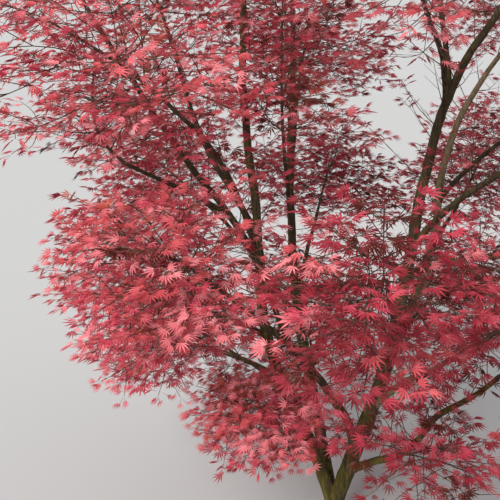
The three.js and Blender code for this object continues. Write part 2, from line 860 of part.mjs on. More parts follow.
// The neighbour that a corner can be moved onto without changing the form, or -1.
function needlessCorner(corner, points, fan) {
  const normals = fan.map((triangle) => faceNormal(points, triangle).normalize());
  const planes = [];
  for (const normal of normals) {
    if (!planes.some((plane) => plane.dot(normal) > SAME_PLANE)) {
      planes.push(normal);
    }
  }
  if (planes.length > 2) {
    return -1;
  }
  const ring = new Map();
  fan.forEach((triangle, i) => {
    const plane = planes.findIndex((one) => one.dot(normals[i]) > SAME_PLANE);
    for (const other of triangle.filter((one) => one !== corner)) {
      ring.set(other, [...(ring.get(other) ?? []), plane]);
    }
  });
  let targets = [...ring.keys()];
  if (planes.length === 2) {
    targets = targets.filter((one) => ring.get(one)[0] !== ring.get(one)[1]);
    if (targets.length !== 2) {
      return -1;
    }
    const [one, two] = targets.map((target) => points[target].clone().sub(points[corner]).normalize());
    if (one.dot(two) > -SAME_LINE) {
      return -1;
    }
  }
  return targets.find((target) => fan.every((triangle, i) => {
    if (triangle.includes(target)) {
      return true;
    }
    const moved = faceNormal(points, triangle.map((one) => (one === corner ? target : one)));
    return moved.length() > LEAST_FACE && moved.normalize().dot(normals[i]) > SAME_PLANE;
  })) ?? -1;
}

// Takes out the corners that a join leaves in the middle of a flat face or of a straight edge.
function cleaned(points, triangles) {
  let kept = triangles;
  let changed = true;
  while (changed) {
    changed = false;
    const fans = points.map(() => []);
    kept.forEach((triangle) => triangle.forEach((corner) => fans[corner].push(triangle)));
    const busy = new Set();
    const moves = new Map();
    for (let corner = 0; corner < points.length; corner += 1) {
      const fan = fans[corner];
      const around = new Set(fan.flat());
      if (fan.length > 0 && ![...around].some((one) => busy.has(one))) {
        const target = needlessCorner(corner, points, fan);
        const beyond = target < 0 ? [] : [...new Set(fans[target].flat())];
        const shared = beyond.filter((one) => around.has(one)).length;
        if (shared === SHARED_CORNERS) {
          moves.set(corner, target);
          around.forEach((one) => busy.add(one));
          changed = true;
        }
      }
    }
    kept = kept
      .map((triangle) => triangle.map((corner) => moves.get(corner) ?? corner))
      .filter(([a, b, c]) => a !== b && b !== c && c !== a);
  }
  return kept;
}

// One named mesh of a solid.
function meshFrom(name, solid, material) {
  const made = solid.getMesh();
  const points = [];
  for (let i = 0; i < made.vertProperties.length; i += 3) {
    points.push(new THREE.Vector3(...made.vertProperties.slice(i, i + 3)));
  }
  const triangles = [];
  for (let i = 0; i < made.triVerts.length; i += 3) {
    triangles.push([...made.triVerts.slice(i, i + 3)]);
  }
  const kept = cleaned(points, triangles);
  const used = [...new Set(kept.flat())];
  const places = new Map(used.map((corner, i) => [corner, i]));
  const geometry = new THREE.BufferGeometry();
  const position = new Float32Array(used.flatMap((corner) => points[corner].toArray()));
  geometry.setAttribute("position", new THREE.BufferAttribute(position, 3));
  const index = new Uint32Array(kept.flat().map((one) => places.get(one)));
  geometry.setIndex(new THREE.BufferAttribute(index, 1));
  geometry.computeVertexNormals();
  const mesh = new THREE.Mesh(geometry, material);
  mesh.name = name;
  return mesh;
}

function bark() {
  return new THREE.MeshStandardMaterial({ color: 0x5b4d3a, roughness: 0.85, metalness: 0 });
}

function leafPink() {
  return new THREE.MeshStandardMaterial({ color: 0xb95a5c, roughness: 0.7, metalness: 0 });
}

function buildTree() {
  const tree = new THREE.Group();
  tree.name = "japanese_maple";
  const limbs = growLimbs();
  const stems = STEMS.map((stem) => limbs.get(stem.name));
  const stool = trunkSolid(stems, GAP);
  tree.add(meshFrom("trunk", trunkSolid(stems, 0), bark()));
  for (const stem of stems) {
    tree.add(meshFrom(stem.name, stemSolid(stem, stool), bark()));
  }
  for (const { name, parent } of BOUGHS) {
    tree.add(meshFrom(name, boughSolid(limbs.get(name), limbs.get(parent), stool), bark()));
  }
  const pieces = [];
  for (const limb of limbs.values()) {
    for (let i = 0; i < LIMB_STEPS; i += 1) {
      const radius = radiusAt(limb, i / LIMB_STEPS);
      pieces.push({ from: limb.points[i], to: limb.points[i + 1], radius });
    }
  }
  const masses = MASSES.map((mass) => ({ ...mass, middle: new THREE.Vector3(...mass.centre) }));
  masses.forEach((mass, index) => {
    const growth = growMass(mass, limbs.get(mass.limb), masses, pieces, SEED + index);
    tree.add(meshFrom(mass.name, foliageSolid(growth), leafPink()));
  });
  return tree;
}

export default buildTree();
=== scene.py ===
"""A young Japanese maple in spring leaf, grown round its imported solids.

Lengths are metres and angles are degrees. The origin is the flat cut under the trunk, +Z is up and -Y
faces the viewer. The limbs, the own space of each mass and its stem and twigs follow the same rule as
the solids. Where a solid has one large leaf, branchlets grow here, with sprays of small lobed leaves.
"""

import json
import math
import random

import bmesh
import bpy
import numpy as np
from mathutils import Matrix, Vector, noise

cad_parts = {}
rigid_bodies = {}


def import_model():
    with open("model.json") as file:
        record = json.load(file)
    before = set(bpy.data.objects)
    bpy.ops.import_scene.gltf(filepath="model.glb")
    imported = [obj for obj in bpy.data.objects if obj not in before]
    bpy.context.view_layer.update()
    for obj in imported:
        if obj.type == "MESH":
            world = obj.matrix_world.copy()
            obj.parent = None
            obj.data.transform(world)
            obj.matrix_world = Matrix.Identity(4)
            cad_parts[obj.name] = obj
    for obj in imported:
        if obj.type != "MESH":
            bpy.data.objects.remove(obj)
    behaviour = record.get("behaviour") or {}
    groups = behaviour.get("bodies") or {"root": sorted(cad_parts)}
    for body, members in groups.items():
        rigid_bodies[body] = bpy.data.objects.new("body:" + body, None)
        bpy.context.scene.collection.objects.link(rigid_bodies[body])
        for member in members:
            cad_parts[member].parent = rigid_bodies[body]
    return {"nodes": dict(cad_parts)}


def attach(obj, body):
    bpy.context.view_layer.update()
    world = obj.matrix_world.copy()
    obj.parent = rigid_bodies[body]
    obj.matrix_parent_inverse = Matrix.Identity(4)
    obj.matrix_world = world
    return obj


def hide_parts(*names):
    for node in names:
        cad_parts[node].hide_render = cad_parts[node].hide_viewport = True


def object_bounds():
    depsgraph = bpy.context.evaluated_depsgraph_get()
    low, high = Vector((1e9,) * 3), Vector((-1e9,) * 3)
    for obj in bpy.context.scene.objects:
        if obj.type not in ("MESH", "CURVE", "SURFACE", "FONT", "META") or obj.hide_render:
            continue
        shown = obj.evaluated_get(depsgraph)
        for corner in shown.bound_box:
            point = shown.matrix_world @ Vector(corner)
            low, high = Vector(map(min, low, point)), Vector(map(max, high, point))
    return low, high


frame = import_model()
CAD_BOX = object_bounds()

UP = Vector((0, 0, 1))

# The air between two nodes that touch.
GAP = 0.0003

# Limbs: name, parent, place of the foot along the parent, length, radius at foot and tip, and the
# [heading, lean] ways that the limb takes one after the other, spread evenly from foot to tip.
LIMBS = [
    ("west_stem", None, 0, 2.19, 0.023, 0.008,
     [(182, 15), (167, 28), (106, 7), (145, 10), (57, 4), (144, 6)]),
    ("east_stem", None, 0, 2.13, 0.03, 0.008,
     [(0, 17), (0, 19), (16, 11), (36, 10), (346, 13), (350, 35), (350, 3)]),
    ("north_stem", None, 0, 2.09, 0.024, 0.008, [(102, 38), (116, 25), (98, 16), (78, 12), (129, 6)]),
    ("north_east_stem", "east_stem", 0.24, 1.41, 0.02, 0.008,
     [(48, 38), (40, 32), (73, 19), (26, 31), (26, 50)]),
    ("front_west_bough", "east_stem", 0.1, 1.04, 0.017, 0.007,
     [(271, 24), (223, 37), (227, 43), (216, 50), (226, 51)]),
    ("low_west_bough", "west_stem", 0.24, 0.5, 0.01, 0.006, [(239, 53), (218, 61), (230, 68)]),
    ("high_west_bough", "west_stem", 0.43, 0.99, 0.013, 0.007,
     [(208, 27), (194, 39), (209, 33), (210, 34)]),
    ("upper_west_bough", "west_stem", 0.48, 0.88, 0.012, 0.007,
     [(132, 44), (142, 40), (127, 26), (130, 29)]),
    ("mossy_bough", "east_stem", 0.19, 0.49, 0.014, 0.007, [(329, 36), (310, 56), (274, 56)]),
    ("low_east_bough", "east_stem", 0.07, 0.78, 0.015, 0.007,
     [(333, 53), (311, 61), (314, 28), (313, 53), (308, 38)]),
    ("front_bough", "east_stem", 0.28, 0.93, 0.014, 0.006, [(269, 37), (259, 58), (256, 67), (259, 61)]),
    ("west_bough", "high_west_bough", 0.22, 0.41, 0.009, 0.006, [(200, 54), (202, 64), (202, 63)]),
    ("middle_west_bough", "west_stem", 0.31, 0.47, 0.01, 0.006, [(184, 48), (190, 77), (189, 67)]),
    ("skirt_west_bough", "west_stem", 0.11, 0.29, 0.008, 0.005, [(221, 42), (237, 49), (234, 60)]),
    ("skirt_south_bough", "low_east_bough", 0.22, 0.26, 0.008, 0.005, [(288, 50), (272, 63), (274, 62)]),
    ("east_bough", "east_stem", 0.42, 0.51, 0.011, 0.006, [(353, 52), (350, 80), (349, 84), (350, 68)]),
    ("inner_bough", "east_stem", 0.7, 0.53, 0.01, 0.006, [(259, 35), (244, 48), (240, 59), (244, 59)]),
    ("far_east_bough", "north_east_stem", 0.5, 0.57, 0.01, 0.006,
     [(3, 36), (350, 46), (347, 55), (351, 59)]),
    ("south_east_bough", "east_stem", 0.47, 0.76, 0.012, 0.006,
     [(313, 36), (306, 52), (304, 62), (306, 60)]),
    ("skirt_north_east_bough", "north_east_stem", 0.12, 0.3, 0.009, 0.005, [(52, 60), (56, 80), (55, 76)]),
    ("skirt_north_bough", "north_stem", 0.14, 0.34, 0.009, 0.005, [(96, 52), (90, 58), (91, 62)]),
    ("skirt_north_west_bough", "north_stem", 0.16, 0.46, 0.01, 0.005, [(148, 47), (162, 64), (159, 63)]),
    ("back_bough", "north_stem", 0.36, 0.55, 0.011, 0.006, [(82, 43), (76, 53), (74, 61), (76, 60)]),
    ("back_west_bough", "north_stem", 0.32, 0.66, 0.012, 0.006,
     [(139, 37), (147, 40), (150, 48), (147, 57)]),
    ("back_east_bough", "north_east_stem", 0.34, 0.47, 0.01, 0.006, [(59, 53), (61, 76), (61, 67)]),
    ("high_back_bough", "north_stem", 0.6, 0.55, 0.011, 0.006, [(82, 33), (80, 32), (80, 41), (81, 56)]),
    ("south_west_bough", "front_west_bough", 0.62, 0.83, 0.009, 0.006,
     [(220, 30), (221, 20), (221, 25), (221, 54)]),
    ("centre_bough", "north_stem", 0.5, 0.48, 0.01, 0.006, [(262, 36), (262, 45), (262, 50)]),
    ("top_bough", "east_stem", 0.72, 0.9, 0.01, 0.006, [(120, 10), (155, 11), (158, 16), (155, 10)]),
]

# Masses: name before _foliage, limb that it grows on from, middle of its own space, reach sideways, how
# leafy it is round 1, the colours that its sprays are dealt from, and the piece that it is joined to. The
# colours are dealt partly as painted light and shade: paler palettes to the lit west masses, the crimson
# one to the shaded front and east.
MASSES = [
    ("crown_west", "west_stem", (-0.4, 0.14, 2.46), 0.48, 0.66, "coral", "crown"),
    ("crown_east", "east_stem", (0.62, -0.06, 2.38), 0.48, 1.06, "pink", "crown"),
    ("crown_north_east", "north_east_stem", (0.76, 0.62, 1.98), 0.46, 1.04, "pink", "crown"),
    ("crown_north", "north_stem", (-0.16, 0.68, 2.28), 0.48, 0.58, "coral", "crown"),
    ("south_west", "front_west_bough", (-0.48, -0.66, 1.13), 0.37, 0.95, "bright", "west"),
    ("low_west", "low_west_bough", (-0.57, -0.34, 0.86), 0.29, 1.25, "light", "west"),
    ("high_west", "high_west_bough", (-0.86, -0.12, 1.98), 0.43, 0.62, "coral", "crown"),
    ("upper_west", "upper_west_bough", (-0.68, 0.56, 1.92), 0.46, 0.6, "coral", "crown"),
    ("south_low_east", "mossy_bough", (0.42, -0.62, 0.98), 0.39, 0.7, "crimson", "east"),
    ("low_east", "low_east_bough", (0.64, -0.52, 0.7), 0.36, 0.68, "crimson", "east"),
    ("front", "front_bough", (-0.03, -0.94, 1.13), 0.32, 0.95, "crimson", "west"),
    ("west", "west_bough", (-0.74, -0.16, 1.54), 0.37, 0.75, "bright", "west"),
    ("middle_west", "middle_west_bough", (-0.7, -0.04, 0.99), 0.35, 0.85, "bright", "west"),
    ("skirt_south_west", "skirt_west_bough", (-0.26, -0.29, 0.59), 0.28, 1.45, "light", "skirt"),
    ("skirt_south", "skirt_south_bough", (0.2, -0.46, 0.52), 0.32, 0.62, "crimson", "skirt"),
    ("east", "east_bough", (0.92, -0.1, 1.12), 0.43, 0.8, "crimson", "east"),
    ("front_high", "inner_bough", (0.08, -0.54, 1.98), 0.44, 0.8, "pink", "east"),
    ("far_east", "far_east_bough", (1, 0.16, 1.64), 0.43, 0.9, "pink", "east"),
    ("south_east", "south_east_bough", (0.72, -0.62, 1.58), 0.43, 0.8, "pink", "east"),
    ("skirt_north_east", "skirt_north_east_bough", (0.52, 0.48, 0.74), 0.39, 1.05, "crimson", "skirt"),
    ("skirt_north", "skirt_north_bough", (-0.06, 0.62, 0.6), 0.39, 1.05, "pink", "skirt"),
    ("skirt_north_west", "skirt_north_west_bough", (-0.58, 0.4, 0.66), 0.39, 1.05, "pink", "skirt"),
    ("back", "back_bough", (0.04, 0.98, 1.14), 0.43, 1.1, "pink", "back"),
    ("back_west", "back_west_bough", (-0.66, 0.68, 1.22), 0.43, 1.05, "coral", "back"),
    ("back_east", "back_east_bough", (0.66, 0.74, 1.22), 0.43, 1, "pink", "back"),
    ("high_back", "high_back_bough", (-0.06, 1.02, 1.74), 0.43, 1, "pink", "back"),
    ("south_west_high", "south_west_bough", (-0.62, -0.66, 1.62), 0.4, 0.75, "bright", "west"),
    ("centre", "centre_bough", (-0.2, -0.04, 1.72), 0.4, 0.95, "pink", "west"),
    ("top", "top_bough", (0.14, 0.12, 2.64), 0.47, 0.6, "coral", "crown"),
]

# The run of a limb, and where it stands.
LIMB_STEPS = 24
FORK_HEIGHT = 0.052
NECK_LENGTH = 0.15
COLLAR_SWELL = 0.45
COLLAR_SHARE = 0.1

# The root flare.
FLARE_RADIUS = 0.066
FLARE_TOP_RADIUS = 0.034
FLARE_HEIGHT = 0.078
ROOT_RIDGES = 5
ROOT_RIDGE_DEPTH = 0.17

# The rule by which a mass grows, as in the solids.
SPREAD_OVER_HEIGHT = 1.2
SPACE_MARGIN = 0.003
PAIRS = 4
FIRST_PAIR_AT = 0.22
LAST_PAIR_AT = 0.86
PAIR_ANGLE = 60
ANGLE_JITTER = 14
STEM_ROLL_JITTER = 25
STEM_PAST_MIDDLE = 0.42
STEM_BOW = 0.4
STEM_RINGS_AT = (0, 0.4, 0.72, 1)
TWIG_DROOP = 0.22
TWIG_LEAST = 0.04
TWIG_STOPS_SHORT = 0.72
TWIG_STOP_JITTER = 0.2
TWIG_BENDS_FROM = 0.16
TWIG_ROLL_JITTER = 40
FEELER = 0.01
LIMB_CLEARANCE = 0.003
SPRAY_LENGTH = 0.22
SEED = 1000

# Twigs that are finer than the solids hold.
STEM_TIP_RADIUS = 0.0026
TWIG_OF_STEM = 0.55
TWIG_TIP_RADIUS = 0.0012
TWIG_LEAST_RADIUS = 0.0017

# Branchlets stand in opposite pairs back from the end of a twig, and one goes on from its end. An angle
# that is a pair is the middle one, and how far it may be off.
TWIG_RINGS_LEAST = 4
TWIG_RING_SPACING = 0.02
BRANCHLET_STEP = 0.05
BRANCHLET_BARE_SHARE = 0.12
BRANCHLET_ANGLE = (55, 14)
BRANCHLET_LENGTH = 0.2
BRANCHLET_LENGTHS = (0.12, 0.22)
BRANCHLET_TRIES = (1, 0.8, 0.62, 0.45, 0.3)
BRANCHLET_RADII = (0.0015, 0.0011)
BRANCHLET_RINGS = 4
BRANCHLET_LEVELS = 0.2
BRANCHLET_RISE = 0.2
BRANCHLET_BEND = 0.25
BRANCHLETS_KEPT = 0.8
SIDE_BRANCHLETS_AT = (0.3, 0.65)
SIDE_BRANCHLET_SHARE = 0.6
SIDE_BRANCHLET_FROM = 0.1
SIDE_BRANCHLET_ROLL = 60
SIDE_BRANCHLET_ANGLE = (55, 10)
CROWN_AXIS = Vector((0.1, 0.1, 0))
NEAR_AXIS = 0.1

# Sprays are short shoots with two pairs of leaves, in opposite pairs along a branchlet and at its tip.
SPRAY_STEP = 0.033
SPRAY_ROLL = 35
SPRAY_ANGLE = (60, 14)
SPRAY_LEVELS = 0.7
SPRAY_RISE = (-0.1, 0.15)
SPRAY_MIDDLE = 0.05
SHOOT_LENGTHS = (0.021, 0.039)
SHOOT_RADIUS = 0.001
SHOOT_ROLL = 25
INNER_PAIR_AT = 0.45
INNER_LEAF_ANGLE = 72
INNER_LEAF_SIZE = 0.85
OUTER_LEAF_ANGLE = 28
LEAF_ANGLE_JITTER = 14
END_LEAF_CHANCE = 0.35
END_LEAF_SIZE = 0.7

# The room that a spray keeps to itself. A cell is never smaller than the largest room.
SPRAY_ROOM = 0.053
SPRAY_ROOM_UP = 1.2
SPRAY_CELL = 0.07

# Real leaves. The length runs from the stalk to the tip of the middle lobe, and is less high in the crown.
LEAF_LENGTH_LOW = 0.042
LEAF_LENGTH_HIGH = 0.031
CROWN_HEIGHT = 3
LEAF_LENGTH_JITTER = 0.22
STALK_LENGTHS = (0.012, 0.026)
STALK_RADIUS = 0.0008
LEAF_LEVELS = 0.45
LEAF_DROOP = (-0.32, 0.55)
LEAF_TILT = 0.7
LEAF_OUTWARD = 0.6
LEAF_SPREAD = (0.5, 0.86)
LEAF_CURL = (-0.05, 0.24)

# The lobes of a leaf: angle from the middle lobe and length. The last on each side is the small one at
# its base, which has one edge. A shorter lobe is narrower, but less so than it is shorter.
LOBES = ((0, 1.0), (31, 0.93), (63, 0.76), (98, 0.44))
LOBE_HALF_WIDTH = 0.092
LOBE_WIDTH_KEPT = 0.4
LOBE_WIDEST_AT = 0.46
LOBE_FOLD = 0.05
FOLD_UNSPREAD = 1.6

# Thin twigs along the limbs, with their forks.
INNER_TWIG_FIRST = (0.138, 0.18)
INNER_TWIG_STEPS = (0.03, 0.096)
INNER_TWIGS_TO = 0.94
INNER_TWIG_LENGTHS = (0.068, 0.238)
INNER_TWIG_ANGLES = (45, 70)
INNER_TWIG_RISE = (0, 0.5)
INNER_TWIG_RADII = (0.0018, 0.0007)
INNER_TWIG_RINGS = 5
INNER_FORKS_AT = (0.35, 0.6, 0.82)
INNER_FORK_ANGLE = 50
INNER_FORK_LENGTHS = (0.2, 0.45)
INNER_FORK_RADII = (0.0009, 0.0005)
INNER_SPRAY_CHANCE = 0.3
INNER_PALETTE = (0.1, 0.04, 0.34, 0.36, 0.1, 0.06, 0)
LOOK_AHEAD = 0.02

# The foot radius above which a tube has so many sides.
LIMB_SIDES = ((0.016, 26), (0.0105, 16), (0, 12))
TWIG_SIDES = ((0.004, 7), (0.0016, 5), (0, 3))

# The bark of the limbs. Ridges and lumps are waves: their number, their range of turns round a limb and
# of waves per metre along it, and their depth as a share of the radius.
RING_SPACING = 0.011
RIDGES = (7, (4, 11), (2, 9), 0.035 / 3)
LUMPS = (5, (1, 3), (5, 22), 0.05 / 3)
NODE_FIRST = (0.03, 0.11)
NODE_SPACINGS = (0.066, 0.165)
NODE_SWELLS = (0.028, 0.091)
NODE_LENGTH = 0.006
WANDER = 0.0018
WANDER_PHASE = 40
WANDER_PACES = (23, 31)

# The base: the flare and the feet of the stems, joined by remeshing.
FLARE_SIDES = 60
FLARE_RINGS = 16
FLARE_FROM = -0.014
FOOT_RINGS = 30
FOOT_SWELL = 0.0006
BASE_TOP = 0.27
BASE_OVERLAP = 0.07
BASE_SINK = 0.0016
BASE_GRAIN = 0.35
BASE_LUMPS = ((0.0026, 42), (0.0012, 130))

# Moss is thicker below the low line than above the high one. It is also thicker on the side of -X, where
# the
# key light falls: painted light that lightens the lit side. Bark darkens upward as painted shade of the
# crown.
MOSS_LOW = 0.35
MOSS_HIGH = 1.1
MOSS_SHIFT = 0.05
MOSS_PAINTED_LIT_SIDE = 0.09
UPPER_PAINTED_SHADE = 0.42

# Barks: dark, middle and light grain, moss, and the noise from and to which the moss covers it.
BARKS = {
    "dark_bark": ((0.022, 0.015, 0.007), (0.065, 0.045, 0.021), (0.16, 0.112, 0.058), (0.1, 0.1, 0.018),
                  0.52, 0.64),
    "mossy_bark": ((0.02, 0.015, 0.006), (0.062, 0.046, 0.017), (0.17, 0.115, 0.048),
                   (0.125, 0.105, 0.016), 0.51, 0.6),
    "pale_bark": ((0.09, 0.062, 0.034), (0.2, 0.15, 0.085), (0.36, 0.29, 0.18), (0.22, 0.2, 0.06),
                  0.56, 0.7),
}
BARK_OF = {
    "west_stem": "mossy_bark",
    "north_east_stem": "pale_bark",
    "mossy_bough": "pale_bark",
    "low_east_bough": "mossy_bark",
    "low_west_bough": "pale_bark",
}

# The barks of twigs, shoots and leaf stalks: dark, light and roughness.
TWIG_BARKS = {
    "twig_bark": ((0.045, 0.026, 0.018), (0.11, 0.07, 0.045), 0.7),
    "shoot_bark": ((0.12, 0.03, 0.022), (0.22, 0.065, 0.04), 0.55),
    "stalk_red": ((0.3, 0.05, 0.05), (0.42, 0.1, 0.08), 0.5),
}

# Base colours, as plain linear values, and the share of each that a mass of some palette is dealt.
LEAF_COLOURS = {
    "coral_leaf": (0.6, 0.1, 0.118),
    "pale_leaf": (0.72, 0.21, 0.24),
    "pink_leaf": (0.5, 0.056, 0.09),
    "rose_leaf": (0.37, 0.034, 0.055),
    "crimson_leaf": (0.24, 0.022, 0.032),
    "wine_leaf": (0.09, 0.014, 0.009),
    "orange_leaf": (0.5, 0.105, 0.075),
}
# Painted light and shade on top of the leaves' own mix of tones: the light and bright palettes, rich in
# pale and coral, go to the lit west masses, and the crimson one, rich in dark red, to the shaded front and
# east.
PALETTES = {
    "light": (0.36, 0.44, 0.15, 0.03, 0, 0, 0.02),
    "bright": (0.38, 0.28, 0.22, 0.07, 0.02, 0.01, 0.02),
    "coral": (0.32, 0.2, 0.24, 0.14, 0.04, 0.03, 0.03),
    "pink": (0.26, 0.16, 0.28, 0.17, 0.07, 0.04, 0.02),
    "crimson": (0.09, 0.02, 0.26, 0.32, 0.18, 0.12, 0.01),
}

# Leaves are smaller in the paler masses.
LEAF_SIZES = {"light": 0.8, "bright": 0.88, "coral": 1, "pink": 1, "crimson": 1}

# The camera, at the viewing angle of the photograph.
CAMERA_PLACE = (-0.305, -2.585, 1.6)
CAMERA_PITCH = 12.65
CAMERA_LENS = 56.16


def seeded(seed):
    """A small repeatable source of numbers from 0 to 1, the same as the one that the solids grow by."""
    state = seed
    full = 0xFFFFFFFF

    def draw():
        nonlocal state
        state = (state + 0x6D2B79F5) & full
        mixed = ((state ^ (state >> 15)) * (1 | state)) & full
        mixed = ((mixed + (mixed ^ (mixed >> 7)) * (61 | mixed)) & full) ^ mixed
        return (mixed ^ (mixed >> 14)) / (full + 1)

    return draw


def jitter(draw, size):
    return (draw() - 0.5) * 2 * size


def way_vector(heading, lean):
    level = math.sin(math.radians(lean))
    turn = math.radians(heading)
    return Vector((level * math.cos(turn), level * math.sin(turn), math.cos(math.radians(lean))))


def run_out(start, ways, length):
    """The centre line of a limb: its direction passes smoothly from one way to the next."""
    vectors = [way_vector(*way) for way in ways]
    points = [start.copy()]
    for i in range(LIMB_STEPS):
        t = (i + 0.5) / LIMB_STEPS * (len(vectors) - 1)
        k = min(int(t), len(vectors) - 2)
        way = vectors[k].lerp(vectors[k + 1], t - k).normalized()
        points.append(points[i] + way * (length / LIMB_STEPS))
    return points


def point_at(points, share):
    t = share * (len(points) - 1)
    k = min(int(t), len(points) - 2)
    return points[k].lerp(points[k + 1], t - k)


def mix(a, b, share):
    return a + (b - a) * share


def grow_limbs():
    """Every limb by name, with its centre line."""
    limbs = {}
    for name, parent, at, length, foot_radius, tip_radius, ways in LIMBS:
        start = point_at(limbs[parent]["points"], at) if parent else Vector((0, 0, FORK_HEIGHT))
        limbs[name] = {
            "parent": parent,
            "length": length,
            "radii": (foot_radius, tip_radius),
            "points": run_out(start, ways, length),
        }
    return limbs


def radius_at(limb, share):
    """The radius tapers evenly, and a bough also swells towards its foot."""
    taper = mix(*limb["radii"], share)
    collar = COLLAR_SWELL * max(0, 1 - share / COLLAR_SHARE) ** 2 if limb["parent"] else 0
    return taper * (1 + collar)


def end_way(limb):
    """The way that the tip of a limb faces, from its last ring in the solids."""
    ring_spacing = 0.165
    least_rings = 4
    first = 0 if limb["parent"] else (NECK_LENGTH + GAP) / limb["length"]
    rings = max(least_rings, math.ceil((1 - first) * limb["length"] / ring_spacing))
    before = point_at(limb["points"], mix(first, 1, (rings - 1) / rings))
    return (limb["points"][-1] - before).normalized()


def carried_frames(points, first_side=None, first_way=None):
    """(along, side, across) at each point, carried along the line without twisting."""
    near_x = 0.8
    frames = []
    side = first_side
    for i, _ in enumerate(points):
        along = (points[min(len(points) - 1, i + 1)] - points[max(0, i - 1)]).normalized()
        if i == 0 and first_way:
            along = first_way
        if side is None:
            side = Vector((1, 0, 0)) if abs(along.x) < near_x else Vector((0, 1, 0))
        side = (side - along * side.dot(along)).normalized()
        frames.append((along, side, along.cross(side)))
    return frames


def stretched(a, b):
    """Distances in a space that is stretched upward, so that a flattened mass measures as a ball."""
    return math.sqrt((b.x - a.x) ** 2 + (b.y - a.y) ** 2 + ((b.z - a.z) * SPREAD_OVER_HEIGHT) ** 2)


def make_masses():
    """The masses, each with the neighbours that it shares a border with."""
    keys = ("name", "limb", "middle", "reach", "leafy", "palette", "piece")
    masses = [dict(zip(keys, row)) for row in MASSES]
    for mass in masses:
        mass["middle"] = Vector(mass["middle"])
    for mass in masses:
        mass["neighbours"] = []
        for other in masses:
            apart = stretched(mass["middle"], other["middle"])
            if other is not mass and apart <= mass["reach"] + other["reach"]:
                mass["neighbours"].append((other["middle"], other["reach"], apart))
    return masses


def in_own_space(point, mass):
    """Whether a point lies within the reach of a mass, and on its own side of every neighbour."""
    own = stretched(mass["middle"], point)
    if own > mass["reach"] - SPACE_MARGIN:
        return False
    power = own * own - mass["reach"] ** 2
    for middle, reach, apart in mass["neighbours"]:
        lead = stretched(middle, point) ** 2 - reach * reach - power
        if lead < 2 * apart * SPACE_MARGIN:
            return False
    return True


def in_box(point):
    """Whether a point lies in the box of the solids."""
    low, high = CAD_BOX
    return all(low[i] < point[i] < high[i] for i in range(3))


def room_ahead(point, way, mass):
    """How far a twig can run from a point before it leaves the own space."""
    room = 0
    while room < 2 * mass["reach"] and in_own_space(point + way * (room + FEELER), mass):
        room += FEELER
    return room


class LimbPieces:
    """The straight pieces of every limb, to keep twigs and branchlets clear of them."""

    def __init__(self, limbs):
        self.starts = np.concatenate([limb["points"][:-1] for limb in limbs.values()])
        self.runs = np.concatenate([limb["points"][1:] for limb in limbs.values()]) - self.starts
        self.run_squares = (self.runs ** 2).sum(1)
        shares = [i / LIMB_STEPS for i in range(LIMB_STEPS)]
        self.radii = np.array([radius_at(limb, share) for limb in limbs.values() for share in shares])

    def clear(self, a, b, radius):
        """Whether the straight piece from a to b keeps clear of every limb."""
        a = np.array(a)
        u = np.array(b) - a
        w = a - self.starts
        uu = u @ u
        uv = self.runs @ u
        uw = w @ u
        vw = (w * self.runs).sum(1)
        area = uu * self.run_squares - uv * uv
        parallel_below = 1e-15
        nearest = (uv * vw - self.run_squares * uw) / np.maximum(area, parallel_below)
        s = np.clip(np.where(area > parallel_below, nearest, 0), 0, 1)
        t = np.clip((uv * s + vw) / self.run_squares, 0, 1)
        s = np.clip((uv * t - uw) / uu, 0, 1)
        gaps = np.linalg.norm(w + s[:, None] * u - t[:, None] * self.runs, axis=1)
        return bool((gaps > radius + self.radii + LIMB_CLEARANCE).all())


def side_of(way, roll):
    """A level direction square to a way, rolled about the way by some degrees."""
    near_upright = 0.2
    level = UP.cross(way)
    if level.length < near_upright:
        level = Vector((1, 0, 0)).cross(way)
    level.normalize()
    return turn_aside(level, way.cross(level), roll)


def turn_aside(way, side, angle):
    """Turns a way aside by an angle, towards a direction square to it."""
    return way * math.cos(math.radians(angle)) + side * math.sin(math.radians(angle))


def add_twig(foot, way, foot_radius, mass, pieces, draw):
    """A side twig: it runs out to near the edge of the own space, and a long one droops on the way."""
    room = room_ahead(foot, way, mass)
    short = SPRAY_LENGTH * (TWIG_STOPS_SHORT + TWIG_STOP_JITTER * draw())
    length = max(TWIG_LEAST, room - short)
    side = side_of(way, jitter(draw, TWIG_ROLL_JITTER))
    droop = TWIG_DROOP * draw()
    middle = foot + way * (length / 2)
    bent = (way - UP * droop).normalized()
    bends = length > TWIG_BENDS_FROM
    end = middle + (bent if bends else way) * (length / 2)
    clear = pieces.clear(foot, middle, foot_radius) and pieces.clear(middle, end, foot_radius)
    if not clear or not in_own_space(middle, mass) or not in_own_space(end, mass):
        return None
    points = [foot, middle, end]
    return {"points": points, "radii": (foot_radius, TWIG_TIP_RADIUS), "side": side, "way": way}


def mass_stem(mass, limb, draw):
    """The stem of a mass goes on from the tip of its limb and bends through the middle to the far side."""
    way = end_way(limb)
    start = limb["points"][-1] + way * GAP
    onward = (mass["middle"] - start).normalized()
    end = mass["middle"] + onward * (STEM_PAST_MIDDLE * mass["reach"])
    end.z = mass["middle"].z + (end.z - mass["middle"].z) / SPREAD_OVER_HEIGHT
    elbow = start + way * ((end - start).length * STEM_BOW)
    points = [curve_point(start, elbow, end, t) for t in STEM_RINGS_AT]
    side = side_of(way, jitter(draw, STEM_ROLL_JITTER))
    return {"points": points, "radii": (limb["radii"][1], STEM_TIP_RADIUS), "side": side, "way": way}


def curve_point(start, elbow, end, t):
    return start * (1 - t) ** 2 + elbow * (2 * t * (1 - t)) + end * t ** 2


